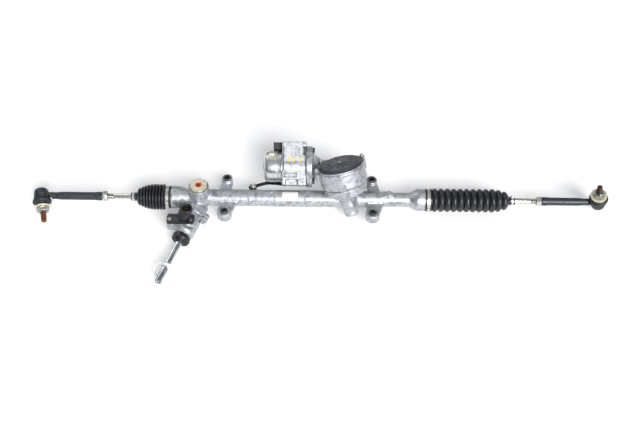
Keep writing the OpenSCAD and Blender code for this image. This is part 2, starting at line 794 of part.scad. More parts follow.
// Two screw lugs beside the input shaft
module flange_lugs(from, to) {
    rotate([0, 0, lug_angle]) translate([-flange_lug_reach, -7, from]) cube([2 * flange_lug_reach, 14, to - from]);
    for (a = [0, 180]) rotate([0, 0, a + lug_angle]) translate([flange_lug_reach, 0, 0]) rod(7.5, from, to);
}

module flange_holes(from, to) for (a = [0, 180]) rotate([0, 0, a + lug_angle])
    translate([flange_lug_reach, 0, 0]) rod(3, from, to);

module input_pinion() color("lightsteelblue") at_input() difference() {
    union() {
        translate([0, 0, -pinion_half]) linear_extrude(height = 2 * pinion_half)
            gear_outline(tooth_module, pinion_teeth, pressure_angle, pinion_tip, pinion_root, backlash);
        rod(needle_r, -needle_start - needle_length + 1, -pinion_half);
        rod(pinion_root, pinion_half, bearing_start);
        rod(bearing_in_r, bearing_start, bearing_start + bearing_length);
        rod(pinion_head_r, bearing_start + bearing_length, pinion_head_end);
    }
    rod(input_end_r + running_gap, pinion_head_end - 18, pinion_head_end + 1);
    rod(torsion_r, bearing_start + 4, pinion_head_end);
}

module torsion_bar() color("slategray") at_input() rod(torsion_r - tiny, bearing_start + 4, sensor_end - 4);

module input_shaft() color("silver") at_input() difference() {
    union() {
        turned_z([
            [pinion_head_end - 17.5, 0], [pinion_head_end - 17.5, input_end_r], [pinion_head_end + 0.5, input_end_r],
            [pinion_head_end + 0.5, pinion_head_r], [pinion_head_end + 22, pinion_head_r],
            [pinion_head_end + 22, shaft_d / 2 + 1.5], [sensor_end + 2, shaft_d / 2 + 1.5],
            [sensor_end + 2, shaft_d / 2], [spline_start - 4, shaft_d / 2], [spline_start - 3, shaft_d / 2 - 1.4],
            [spline_start, shaft_d / 2 - 1.4], [spline_start, spline_root_r], [shaft_reach, spline_root_r],
            [shaft_reach, 0]
        ]);
        for (a = [0 : 360 / spline_count : 359]) rotate([0, 0, a])
            translate([0, -0.7, spline_start - face_step])
                cube([spline_r, 1.4, shaft_reach - spline_start - 1]);
    }
    rod(torsion_r + running_gap, pinion_head_end - 18, sensor_end - 4 + tiny);
    translate([-spline_r - 1, -1.5, shaft_reach - 6]) cube([2 * spline_r + 2, 3, 7]);
}

// White loop left hanging on the shaft, with its cuff round the splines
module shaft_collar() color("white") at_input() {
    translate([-loop_offset, 0, loop_at]) rotate([loop_tilt, 0, 0]) rotate_extrude()
        translate([loop_r, 0]) circle(r = loop_wire);
}

module torque_sensor() color("seagreen") at_input()
    ring(sensor_cavity_r - loose_gap, pinion_head_r + 2, pinion_head_end - 6, pinion_head_end + 18);

module sensor_housing() color("silver") difference() {
    union() {
        at_input() turned_z([
            [sensor_start, 0], [sensor_start, sensor_r], [sensor_end - 10, sensor_r],
            [sensor_end - 6, sensor_r - 3], [sensor_end, sensor_r - 5], [sensor_end, 0]
        ]);
        at_input() flange_lugs(sensor_start + face_step, sensor_start + 9);
        on_rack() translate([platform_x, platform_y, platform_low])
            cube([platform_l, platform_w, platform_top - platform_low]);
    }
    at_input() {
        rod(sensor_cavity_r, sensor_start - 1, pinion_head_end + 24);
        rod(seal_r, sensor_start, sensor_end + 1);
        flange_holes(sensor_start - 1, sensor_start + 10);
    }
}

// Two small screws that hold the connector's plate on the platform
module platform_places() for (x = [platform_x + 6, platform_x + platform_l - 6])
    translate([x, platform_y + 10, 0]) children();

module sensor_connector() color("dimgray") on_rack() {
    difference() {
        union() {
            translate([platform_x - 1, platform_y + 1, platform_top]) cube([platform_l + 2, platform_w - 6, connector_plate_h]);
            translate([connector_x, connector_y, 0]) {
                rod(connector_r - 4, platform_top, platform_top + 9);
                rod(connector_r, platform_top + 8, connector_top - 8);
                rod(connector_r - 2.5, platform_top + 9, connector_top);
                for (z = [0 : 4]) rod(connector_r + 1.2, platform_top + 9 + z * 5, platform_top + 11.5 + z * 5);
                translate([-connector_r - 3, -7, platform_top]) cube([connector_r + 11, 14, 22]);
            }
        }
        translate([connector_x, connector_y, 0]) rod(connector_r - 5, connector_top - 16, connector_top + 1);
        platform_places() rod(2, platform_top - 1, platform_top + connector_plate_h + 1);
    }
}

module screw(head_r, head_h, shank_r, length) {
    difference() {
        rod(head_r, 0, head_h);
        translate([0, 0, head_h / 2]) cylinder(r = head_r * 0.5, h = head_h, $fn = 6);
    }
    rod(shank_r, -length, 0);
}

module sensor_screws() color("lightgray") {
    for (a = [0, 180]) at_input() rotate([0, 0, a + lug_angle])
        translate([flange_lug_reach, 0, sensor_start + 9]) screw(5.5, 5, 2.95, 15);
    on_rack() platform_places()
        translate([0, 0, platform_top + connector_plate_h]) screw(4, 3.5, 1.9, connector_plate_h - 0.1);
}

module input_dust_cover() color("dimgray") at_input() turned_z([
    [sensor_end, shaft_d / 2 + 2], [sensor_end, dust_cover_d / 2 - 2], [sensor_end + 2, dust_cover_d / 2],
    [cover_reach - 2, dust_cover_d / 2], [cover_reach, dust_cover_d / 2 - 2.5], [cover_reach, 13],
    [cover_reach + 4, 11.5], [cover_reach + 7, shaft_d / 2 + 2.2], [cover_reach + 7, shaft_d / 2 + loose_gap],
    [cover_reach + 3, shaft_d / 2 + loose_gap], [cover_reach - 3, shaft_d / 2 + 3]
]);

module pinion_bearings() color("gray") at_input() {
    ring(bearing_out_r, bearing_in_r + running_gap, bearing_start, bearing_start + bearing_length);
    ring(needle_out_r, needle_r + running_gap, -needle_start - needle_length, -needle_start);
    ring(seal_r, shaft_d / 2 + 1.5 + running_gap, sensor_end - 9, sensor_end);
}

// Assist drive group
module assist_pinion() color("lightsteelblue") at_assist() {
    union() {
        translate([0, 0, -pinion_half]) linear_extrude(height = 2 * pinion_half)
            gear_outline(tooth_module, pinion_teeth, pressure_angle, pinion_tip, pinion_root, backlash);
        rod(needle_r, -needle_start - needle_length + 1, -pinion_half);
        rod(pinion_root, pinion_half, bearing_start);
        rod(bearing_in_r, bearing_start, wheel_reach - wheel_half - 4);
        rod(hub_r, wheel_reach - wheel_half - 4, wheel_reach + wheel_half + 4);
        rod(top_journal_r, wheel_reach + wheel_half + 4, drum_top - 2);
    }
}

module worm_wheel() color("wheat") at_assist() difference() {
    translate([0, 0, wheel_reach - wheel_half]) linear_extrude(height = 2 * wheel_half)
        rotate([0, 0, 180 / wheel_teeth])
        gear_outline(worm_module, wheel_teeth, wheel_angle, wheel_tip, wheel_r - 1.15 * worm_module, worm_play);
    rod(hub_r, wheel_reach - wheel_half - 1, wheel_reach + wheel_half + 1);
    rod(wheel_r - 9, wheel_reach + wheel_half - 3, wheel_reach + wheel_half + 1);
    rod(wheel_r - 9, wheel_reach - wheel_half - 1, wheel_reach - wheel_half + 3);
}

module assist_bearings() color("gray") at_assist() {
    ring(bearing_out_r, bearing_in_r + running_gap, bearing_start, bearing_start + bearing_length);
    ring(needle_out_r, needle_r + running_gap, -needle_start - needle_length, -needle_start);
    ring(top_bearing_r, top_journal_r + running_gap, drum_top - 10, drum_top - 1);
}

module cover_places() for (a = cover_angles) rotate([0, 0, a]) translate([drum_d / 2 + 1, 0, 0]) children();

module gear_housing() color("silver") difference() {
    union() {
        at_assist() turned_z([
            [drum_floor, 0], [drum_floor, dish_r], [drum_floor + 3, drum_d / 2 - 1], [drum_floor + 7, drum_d / 2],
            [drum_top - 6, drum_d / 2], [drum_top - 5, drum_d / 2 + 1.5], [drum_top, drum_d / 2 + 1.5], [drum_top, 0]
        ]);
        at_assist() cover_places() rod(6.5, drum_top - 24, drum_top - face_step);
        at_motor(0) {
            rod(worm_tube_r, flange_end - 2, worm_tube_end);
            rod(flange_r, controller_end, flange_end - 4);
            rod(flange_r - 13, flange_end - 5, flange_end);
            turned_z([
                [flange_end - 1, 0], [flange_end - 1, flange_r - 14], [flange_end + 4, flange_r - 20],
                [flange_end + 19, worm_tube_r - 1], [flange_end + 19, 0]
            ]);
        }
    }
    at_assist() {
        rod(drum_inner_r, drum_inner, drum_top - 4);
        rod(drum_inner_r - 4, drum_top - 5, drum_top + 1);
        rod(bearing_in_r + 2, drum_floor - 1, drum_inner + 1);
        cover_places() rod(2.5, drum_top - 14, drum_top + 1);
    }
    at_motor(0) {
        rod(worm_tip + 1.2, worm_x - worm_half - 1, worm_x + worm_half + 1);
        rod(worm_bearing_r, flange_end - 12, worm_x - worm_half);
        rod(worm_bearing_r, worm_x + worm_half, worm_tube_end + 1);
        rod(motor_pilot_r, controller_end - 1, flange_end - 8);
        flange_places() rod(3.05, flange_end - 18, flange_end);
    }
}

module gear_cover() color("dimgray") at_assist() difference() {
    union() {
        turned_z([
            [drum_top, 0], [drum_top, top_bearing_r], [drum_top - 10, top_bearing_r],
            [drum_top - 10, top_bearing_r + 3], [drum_top, top_bearing_r + 3],
            [drum_top, drum_d / 2 + 1], [drum_top + 3, drum_d / 2 + 1], [drum_top + 4, drum_d / 2],
            [drum_top + 4, drum_d / 2 - 5], [drum_top + 7.5, drum_d / 2 - 8], [cover_top - 1, drum_d / 2 - 16],
            [cover_top - 1, 9], [cover_top, 8], [cover_top, 0]
        ]);
        cover_places() rod(6.5, drum_top + face_step, drum_top + cover_boss_h);
        for (a = [15 : 60 : 345]) rotate([0, 0, a]) translate([12, -1, drum_top + 3]) cube([24, 2, 7]);
    }
    cover_places() rod(2.9, drum_top - 1, drum_top + cover_boss_h + 1);
}

module cover_screws() color("lightgray") at_assist() cover_places()
    translate([0, 0, drum_top + cover_boss_h]) screw(4.8, 4.5, 2.45, 16);

// Worm, cut as a two-start thread by turning its section along the shaft
module worm_section() {
    slope = tan(wheel_angle) / cos(worm_lead);
    tip_half = (worm_pitch / 4 - worm_play / 2 - 0.85 * worm_module * slope) * 360 / worm_turn;
    root_half = (worm_pitch / 4 - worm_play / 2 + 1.1 * worm_module * slope) * 360 / worm_turn;
    points = [
        for (s = [0 : worm_starts - 1])
            let (a0 = 90 + s * 360 / worm_starts)
            for (p = [
                [worm_root, -root_half], [worm_tip, -tip_half], [worm_tip, tip_half], [worm_root, root_half],
                [worm_root, 90]
            ]) [p[0] * cos(a0 + p[1]), p[0] * sin(a0 + p[1])]
    ];
    polygon(points);
}

module worm_shaft() color("lightsteelblue") at_motor(0) union() {
    translate([0, 0, worm_x]) rotate([0, 0, -assist_lean - 360 * worm_half / worm_turn]) linear_extrude(
        height = 2 * worm_half, center = true, twist = -360 * 2 * worm_half / worm_turn,
        slices = round(2 * worm_half / worm_turn * 18), segments = 10
    ) worm_section();
    rod(worm_journal_r, motor_left + 5, worm_x - worm_half + 1);
    rod(worm_journal_r, worm_x + worm_half - 1, worm_x + worm_half + worm_bearing_w + 2);
}

module motor_rotor() color("slategray") at_motor(0)
    ring(rotor_r, worm_journal_r, motor_left + 16, can_end - 6);

module motor_stator() color("peru") at_motor(0)
    ring(can_inner_r, rotor_r + 0.8, motor_left + 14, can_end - 4);

module worm_bearings() color("gray") at_motor(0) for (b = [
    [motor_left + 4, motor_bearing_r], [worm_x - worm_half - worm_bearing_w - 0.5, worm_bearing_r],
    [worm_x + worm_half + 0.5, worm_bearing_r]
]) ring(b[1], worm_journal_r + running_gap, b[0], b[0] + worm_bearing_w);

module worm_end_cap() color("dimgray") at_motor(0) difference() {
    union() {
        rod(worm_bearing_r - running_gap, worm_x + worm_half + worm_bearing_w + 3, worm_tube_end);
        rod(worm_tube_r - 1, worm_tube_end, worm_tube_end + 3);
    }
    translate([0, 0, worm_tube_end]) cylinder(r = 6, h = 4, $fn = 6);
}

module motor_can() color("gainsboro") at_motor(0) difference() {
    turned_z([
        [motor_left, 0], [motor_left, 13], [motor_left + 2, 14], [motor_left + 2, motor_d / 2 - 5],
        [motor_left + 5, motor_d / 2 - 1.5], [motor_left + 8, motor_d / 2], [can_end, motor_d / 2], [can_end, 0]
    ]);
    rod(motor_bearing_r, motor_left + 4, motor_left + 13);
    rod(can_inner_r, motor_left + 12, can_end + 1);
}

// Controller housing: a casting with a flat face towards the viewer
module controller_housing() color("silver") difference() {
    union() {
        at_motor(0) rod(motor_d / 2 + 1.5, can_end + face_step, controller_end - face_step);
        at_controller() {
            translate([can_end, -controller_down, -controller_back])
                cube([controller_length, controller_down + controller_up, controller_back + controller_face]);
        }
    }
    at_motor(0) rod(worm_journal_r + 4, can_end - 1, controller_end + 1);
    at_motor(0) rod(can_inner_r, can_end + 4, controller_end - 5);
    at_controller() {
        translate([can_end + 8, -controller_down - 1, controller_face - 6]) cube([28, 14, 10]);
        translate([can_end + 33, 8, controller_face - 3]) cube([2, controller_up - 14, 6]);
        translate([controller_end - 5, controller_up - 30, controller_face - 9]) cube([4, 20, 10]);
    }
}

// Frame of the controller: +Z towards the viewer's side and +Y up its back
module at_controller() on_rack() translate([0, motor_y, motor_z]) rotate([controller_lean, 0, 0]) children();

module motor_connector() color("dimgray") at_controller() difference() {
    union() {
        translate([can_end - 20, controller_up - 16, -14]) cube([20, 15, 34]);
        for (i = [0 : 3]) translate([can_end - 20 + i * 5, controller_up - 16.8, -13]) cube([2.4, 17.3, 32]);
    }
    translate([can_end - 22, controller_up - 13, -10]) cube([14, 9, 26]);
}

module flange_places() for (a = [35, 155, 275]) rotate([0, 0, a]) translate([flange_r - 6, 0, 0]) children();

module flange_bolts() color("dimgray") at_motor(0) flange_places()
    translate([0, 0, flange_end - 4]) screw(5.5, 5.5, 3, 12);

// Thin stay from the tube to the underside of the controller
module stay_bracket() color("silver") on_rack() difference() {
    union() {
        translate([stay_x - 9, stay_y - 4, stay_z]) cube([stay_length, 12, 2.5]);
        translate([stay_x, stay_y, 0]) rod(8, stay_z, stay_z + 2.5);
        translate([stay_x, stay_y, 0]) rod(5, stay_z + 2.5, stay_z + 7);
    }
    translate([stay_x + stay_length - 25, stay_y + 2, 0]) rod(2.5, stay_z - 1, stay_z + 4);
}

rack_housing();
mount_sleeves();
rack_bushing();
support_yoke();
rear_yoke();
yoke_springs();
yoke_plug();
yoke_insert();
rear_yoke_plug();
sensor_housing();
torque_sensor();
sensor_connector();
sensor_screws();
input_dust_cover();
pinion_bearings();
gear_housing();
gear_cover();
cover_screws();
assist_bearings();
worm_end_cap();
worm_bearings();
motor_can();
motor_stator();
controller_housing();
motor_connector();
flange_bolts();
stay_bracket();
left_bellows();
right_bellows();
bellows_bands();
rack_bar();
left_inner_socket();
right_inner_socket();
input_pinion();
torsion_bar();
input_shaft();
shaft_collar();
assist_pinion();
worm_wheel();
worm_shaft();
motor_rotor();
left_ball_seat();
left_inner_rod();
left_bellows_clip();
left_jam_nut();
left_tie_rod_end();
left_outer_boot();
left_stud_seat();
left_ball_stud();
left_stud_nut();
right_ball_seat();
right_inner_rod();
right_bellows_clip();
right_jam_nut();
right_tie_rod_end();
right_outer_boot();
right_stud_seat();
right_ball_stud();
right_stud_nut();
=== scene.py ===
"""Steering rack with an electric assist pinion, dressed for rendering.

Sizes are written in millimetres, in the frames that the CAD model uses. Every piece ends up in metres in the frame of
the part."""

import math

import bmesh
import bpy
import numpy as np
from mathutils import Matrix, Vector


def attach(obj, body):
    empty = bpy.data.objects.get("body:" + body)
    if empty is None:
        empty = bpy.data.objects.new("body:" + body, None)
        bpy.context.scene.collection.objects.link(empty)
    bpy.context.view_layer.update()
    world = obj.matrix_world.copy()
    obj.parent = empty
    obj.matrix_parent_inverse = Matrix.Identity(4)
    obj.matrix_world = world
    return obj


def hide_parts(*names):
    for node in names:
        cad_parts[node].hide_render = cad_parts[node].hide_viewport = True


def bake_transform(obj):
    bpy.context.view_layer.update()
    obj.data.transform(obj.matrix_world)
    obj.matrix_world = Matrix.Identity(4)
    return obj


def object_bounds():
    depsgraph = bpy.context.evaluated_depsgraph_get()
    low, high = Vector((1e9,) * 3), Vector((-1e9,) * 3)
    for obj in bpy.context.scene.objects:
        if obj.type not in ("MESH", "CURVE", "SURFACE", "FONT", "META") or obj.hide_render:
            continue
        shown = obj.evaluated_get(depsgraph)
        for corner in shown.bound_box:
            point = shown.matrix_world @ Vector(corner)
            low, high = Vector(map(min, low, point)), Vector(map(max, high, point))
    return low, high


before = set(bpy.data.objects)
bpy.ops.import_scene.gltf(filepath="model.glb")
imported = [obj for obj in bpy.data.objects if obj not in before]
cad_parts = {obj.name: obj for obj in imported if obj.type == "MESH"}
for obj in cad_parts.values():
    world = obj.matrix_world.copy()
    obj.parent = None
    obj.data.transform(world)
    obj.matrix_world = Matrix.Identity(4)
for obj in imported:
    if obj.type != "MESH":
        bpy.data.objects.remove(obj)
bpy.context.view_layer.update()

MM = 0.001
SIDES = ("left", "right")

# Sizes that place the pieces, as in the CAD model
MOUNT_XS, REAR_MOUNT_Y = (0, 336), 95
RACK_Y = 46
INPUT_X, ASSIST_X = -59, 283
PINION_REACH = 15.86
MOTOR_Y, MOTOR_Z, CONTROLLER_TILT = 62.1932, 39.9756, 37
BELLOWS_X = {"left": -125, "right": 458}
BALL_X = {"left": -142, "right": 588}
STUD_X = {"left": -424, "right": 856}
OUTWARDS = {"left": -90, "right": 90}
STUD_TURN = {"left": 107, "right": 7}
STUD_LEAN = {"left": 12, "right": -12}


# Frames, as 4 by 4 matrices in millimetres

def move(x, y, z):
    """Shift by x, y, z."""
    m = np.eye(4)
    m[:3, 3] = (x, y, z)
    return m


def turn(axis, degrees):
    """Right-handed turn about one of the axes x, y, z."""
    return np.array(Matrix.Rotation(math.radians(degrees), 4, axis.upper()))


def pinion_frame(x, lean, slant):
    """Frame of a pinion: at x on the rack, turned by lean about it, out by the pinion's reach, then slanted."""
    return RACK @ move(x, 0, 0) @ turn("x", lean) @ move(0, -PINION_REACH, 0) @ turn("y", -slant)


def in_frame(points, place):
    """Points times the frame's matrix, still in millimetres."""
    return np.asarray(points, float) @ place[:3, :3].T + place[:3, 3]


RACK = move(0, RACK_Y, 0)
TUBE = RACK @ turn("y", 90)
YOKE = RACK @ move(INPUT_X, 0, 0)
MOTOR_SEAT = RACK @ move(0, MOTOR_Y, MOTOR_Z)
MOTOR = MOTOR_SEAT @ turn("y", 90)
CONTROLLER = MOTOR_SEAT @ turn("x", CONTROLLER_TILT)
INPUT = pinion_frame(INPUT_X, 90, 18)
ASSIST = pinion_frame(ASSIST_X, -27.5, 13.5)
BELLOWS = {side: RACK @ move(BELLOWS_X[side], 0, 0) @ turn("y", OUTWARDS[side]) for side in SIDES}
BALL = {side: RACK @ move(BALL_X[side], 0, 0) @ turn("y", OUTWARDS[side]) for side in SIDES}
STUD = {side: RACK @ move(STUD_X[side], 0, 0) @ turn("x", STUD_TURN[side]) for side in SIDES}
LEANED = {side: STUD[side] @ turn("y", STUD_LEAN[side]) for side in SIDES}


# Shapes, each a pair of points and faces

def sheet_faces(rows, columns):
    """Quads of a grid numbered row by row, its last column joined to the first."""
    r = np.arange(rows - 1)[:, None]
    c = np.arange(columns)[None, :]
    d = (c + 1) % columns
    quads = np.stack([r * columns + c, r * columns + d, (r + 1) * columns + d, (r + 1) * columns + c], -1)
    return quads.reshape(-1, 4).tolist()


def end_faces(rows, columns):
    """The first and the last row of such a grid, as two faces that close it."""
    return [list(range(columns))[::-1], list(range(columns * (rows - 1), columns * rows))]


def angles(count):
    """Equal steps round a full turn, in radians."""
    return np.linspace(0, 2 * np.pi, count, endpoint=False)


def on_cylinder(r, z, t):
    """Points x = r cos t, y = r sin t at height z, with r, z and t broadcast to one grid."""
    r, z, t = np.broadcast_arrays(r, z, t)
    return np.stack([r * np.cos(t), r * np.sin(t), z], -1).reshape(-1, 3)


def join(*shapes):
    """Several shapes as one, the faces renumbered past the points before them."""
    points, faces, start = [], [], 0
    for p, f in shapes:
        points.append(np.asarray(p, float))
        faces += [[i + start for i in face] for face in f]
        start += len(p)
    return np.concatenate(points), faces


def placed(shape, place):
    """The shape carried into a frame."""
    return in_frame(shape[0], place), shape[1]


def rounded(profile, radius):
    """Profile whose inner corners are cut back by radius, or half a side, and bridged by a quadratic curve."""
    p = np.asarray(profile, float)
    rows = [p[:1]]
    s = np.linspace(0, 1, 5)[:, None]
    for a, b, c in zip(p[:-2], p[1:-1], p[2:]):
        la, lc = np.linalg.norm(a - b), np.linalg.norm(c - b)
        if min(la, lc) < 1e-6:
            rows.append(b[None])
            continue
        a1 = b + (a - b) / la * min(radius, la * 0.49)
        c1 = b + (c - b) / lc * min(radius, lc * 0.49)
        rows.append((1 - s) ** 2 * a1 + 2 * s * (1 - s) * b + s ** 2 * c1)
    rows.append(p[-1:])
    return np.concatenate(rows)


def turned(profile, round_by=0.0, around=96):
    """Profile rows [z, r] carried round Z: x = r cos t, y = r sin t."""
    p = rounded(profile, round_by) if round_by else np.asarray(profile, float)
    return on_cylinder(p[:, 1:], p[:, :1], angles(around)), sheet_faces(len(p), around)


def ring(outer, inner, low, high, round_by=0.4):
    """Closed ring of square section with rounded edges, the profile ending where it starts."""
    middle = (low + high) / 2
    return turned([[middle, inner], [low, inner], [low, outer], [high, outer], [high, inner], [middle, inner]],
                  round_by)


def rod(radius, low, high, round_by=0.5, around=64):
    """Closed cylinder along Z with rounded rims."""
    return turned([[low, 0], [low, radius], [high, radius], [high, 0]], round_by, around)


def loft(rows, t):
    """Skin through rings at angles t. Each row is a radius and a height, either of them one number for each angle."""
    r, z = (np.stack([np.broadcast_to(row[k], t.shape) for row in rows]) for k in (0, 1))
    return on_cylinder(r, z, t), sheet_faces(len(rows), len(t))


def prism(outline, low, high, edge=0.6):
    """Outline in x, y carried from low to high, its corners drawn in by edge at both ends to round the rims."""
    o = np.asarray(outline, float)
    ahead, back = np.roll(o, -1, 0) - o, o - np.roll(o, 1, 0)
    ahead /= np.linalg.norm(ahead, axis=1)[:, None]
    back /= np.linalg.norm(back, axis=1)[:, None]
    side = ahead + back
    normal = np.stack([side[:, 1], -side[:, 0]], -1)
    normal /= np.maximum((normal * np.stack([ahead[:, 1], -ahead[:, 0]], -1)).sum(1), 0.3)[:, None]
    steps = [(low, 1.0), (low + 0.3 * edge, 0.3), (low + edge, 0.0),
             (high - edge, 0.0), (high - 0.3 * edge, 0.3), (high, 1.0)]
    points = np.concatenate([np.c_[o - normal * edge * k, np.full(len(o), z)] for z, k in steps])
    return points, sheet_faces(len(steps), len(o)) + end_faces(len(steps), len(o))


def rounded_box(x0, y0, x1, y1, corner):
    """Rectangle with quarter-circle corners, counter-clockwise."""
    t = np.linspace(0, np.pi / 2, 5)
    corners = [(x1 - corner, y1 - corner, 0), (x0 + corner, y1 - corner, 1),
               (x0 + corner, y0 + corner, 2), (x1 - corner, y0 + corner, 3)]
    return np.concatenate([np.c_[x + corner * np.cos(t + k * np.pi / 2), y + corner * np.sin(t + k * np.pi / 2)]
                           for x, y, k in corners])


def box(x0, y0, z0, x1, y1, z1, corner=1.0, edge=0.6):
    """Block with rounded upright corners and rounded rims."""
    return prism(rounded_box(x0, y0, x1, y1, corner), z0, z1, edge)


def slot_outline(x0, x1, r):
    """Outline of a bar with round ends, from x0 to x1 between the centres of its ends."""
    t = np.linspace(-np.pi / 2, np.pi / 2, 13)
    return np.concatenate([np.c_[x1 + r * np.cos(t), r * np.sin(t)], np.c_[x0 - r * np.cos(t), -r * np.sin(t)]])


def nut(flats, low, high, bore, chamfer=1.6, slot=0.0, crown=0.0):
    """Hexagon nut with a bore: radius flats / 2 / cos of the angle from the nearest flat, cut to a round rim at both
    ends. Where slot, the width of a slot, is above zero, a crown with six slots stands on it."""
    t = angles(144)
    from_flat = (t + np.pi / 6) % (np.pi / 3) - np.pi / 6
    hexed = flats / 2 / np.cos(from_flat)
    rim = np.minimum(hexed, flats / 2 * 0.97)
    rows = [(rim, low), (hexed, low + chamfer * 0.6), (hexed, high - chamfer * 0.6), (rim, high)]
    top = high
    if slot:
        tooth = np.clip((np.abs(from_flat) * flats * 0.42 - slot / 2) / 0.25, 0, 1)
        top = high + crown * tooth
        wall = flats / 2 - 2.2
        rows += [(wall, high), (wall, top - 0.6 * tooth), (wall - 0.7, top)]
    rows += [(bore + 0.6, top), (bore, top - 0.6), (bore, low + 0.4), (bore + 0.6, low), rows[0]]
    return loft(rows, t)


def swept(path, section):
    """Closed section in (side, up) carried along a path of points, held square to it and level, with closed ends."""
    p, s = np.asarray(path, float), np.asarray(section, float)
    ahead = np.gradient(p, axis=0)
    ahead /= np.linalg.norm(ahead, axis=1)[:, None]
    side = np.cross(ahead, [0.0, 0.0, 1.0])
    side /= np.linalg.norm(side, axis=1)[:, None]
    high = np.cross(side, ahead)
    points = p[:, None] + s[None, :, :1] * side[:, None] + s[None, :, 1:] * high[:, None]
    return points.reshape(-1, 3), sheet_faces(len(p), len(s)) + end_faces(len(p), len(s))


def smooth_path(corners, count):
    """Points on a Catmull-Rom curve through the corners."""
    c = np.asarray(corners, float)
    c = np.concatenate([2 * c[:1] - c[1:2], c, 2 * c[-1:] - c[-2:-1]])
    u = np.linspace(0, len(c) - 3 - 1e-9, count)
    i = u.astype(int)
    f = (u - i)[:, None]
    a, b, d, e = c[i], c[i + 1], c[i + 2], c[i + 3]
    return 0.5 * (2 * b + (d - a) * f + (2 * a - 5 * b + 4 * d - e) * f ** 2 + (3 * b - a - 3 * d + e) * f ** 3)


# Pieces

def mesh_of(name, shape):
    """Mesh in metres from a shape in millimetres, doubles merged and faces turned outwards."""
    mesh = bpy.data.meshes.new(name)
    mesh.from_pydata((shape[0] * MM).tolist(), [], shape[1])
    bm = bmesh.new()
    bm.from_mesh(mesh)
    bmesh.ops.remove_doubles(bm, verts=bm.verts, dist=2e-6)
    bmesh.ops.recalc_face_normals(bm, faces=bm.faces)
    bm.to_mesh(mesh)
    bm.free()
    return mesh


def linked(name, data):
    """A new object in the scene."""
    obj = bpy.data.objects.new(name, data)
    bpy.context.scene.collection.objects.link(obj)
    return obj


def finished(obj, finish, body, replaces, sharp):
    """Shading, material, body and replaced nodes of an object whose mesh is final."""
    obj.data.shade_smooth()
    if sharp:
        obj.data.set_sharp_from_angle(angle=math.radians(sharp))
    obj.data.materials.clear()
    obj.data.materials.append(finish)
    if body:
        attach(obj, body)
    if replaces:
        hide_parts(*replaces)
    return obj


def piece(name, shape, finish, body, replaces=(), sharp=35):
    """A finished piece in the row frame, riding on a body, its shading broken at edges sharper than sharp degrees."""
    return finished(linked(name, mesh_of(name, shape)), finish, body, replaces, sharp)


def node_shape(name):
    """Points in millimetres and triangles of a CAD node."""
    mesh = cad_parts[name].data
    points = np.empty(len(mesh.vertices) * 3, np.float32)
    mesh.vertices.foreach_get("co", points)
    corners = np.empty(len(mesh.loops), np.int32)
    mesh.loops.foreach_get("vertex_index", corners)
    return points.reshape(-1, 3) / MM, corners.reshape(-1, 3).tolist()


def baked(obj):
    """Replaces an object's mesh by what its modifiers make of it."""
    bpy.context.view_layer.update()
    made = bpy.data.meshes.new_from_object(obj.evaluated_get(bpy.context.evaluated_depsgraph_get()))
    obj.modifiers.clear()
    obj.data = made
    return obj


def cut(obj, shape):
    """Cuts a closed shape, in millimetres, out of a piece."""
    tool = linked("tool", mesh_of("tool", shape))
    carve = obj.modifiers.new("cut", "BOOLEAN")
    carve.object = tool
    carve.solver = "EXACT"
    baked(obj)
    bpy.data.objects.remove(tool)


def cast(name, shape, voxel, passes, finish, body, replaces=()):
    """A casting, forging or moulding: solids fused on a grid of voxel mm, then relaxed so that corners turn into
    fillets."""
    obj = linked(name, mesh_of(name, shape))
    fuse = obj.modifiers.new("fuse", "REMESH")
    fuse.mode = "VOXEL"
    fuse.voxel_size = voxel * MM
    relax = obj.modifiers.new("relax", "SMOOTH")
    relax.factor = 0.5
    relax.iterations = passes
    return finished(baked(obj), finish, body, replaces, None)


# Materials

def linear(colour):
    """sRGB hex such as #a0a0a0 as a linear RGBA tuple."""
    c = np.array([int(colour[i:i + 2], 16) for i in (1, 3, 5)]) / 255
    return (*np.where(c <= 0.04045, c / 12.92, ((c + 0.055) / 1.055) ** 2.4), 1.0)


def add_node(tree, kind, **settings):
    """A node with its settings. A key such as in_Scale or in_0 sets or links that input; the rest are properties."""
    node = tree.nodes.new(kind)
    sockets = {}
    for key, value in settings.items():
        if key.startswith("in_"):
            sockets[key[3:].replace("_", " ")] = value
        else:
            setattr(node, key, value)
    for key, value in sockets.items():
        socket = node.inputs[int(key) if key.isdigit() else key]
        if isinstance(value, bpy.types.NodeSocket):
            tree.links.new(value, socket)
        else:
            socket.default_value = value
    return node


def blank(name):
    """A material with only its output, and the tree to fill."""
    material = bpy.data.materials.new(name)
    material.use_nodes = True
    material.node_tree.nodes.clear()
    return material, material.node_tree


# Noise rarely leaves this range, so colours are spread over it
NOISE_LOW, NOISE_SPAN = 0.36, 0.28
# Noise range over which a surface goes from its smooth to its rough value
WORN_FROM, WORN_TO = 0.35, 0.65
# Openness of a corner at which the painted shade is full and at which it ends, and how much of it a corner holds
SHADE_FULL, SHADE_END, SHADE_SHARE = 0.35, 0.85, 0.85
# Noise range over which a spot fades in, and how strong it gets
SPOT_EDGE, SPOT_SHARE = 0.05, 0.8


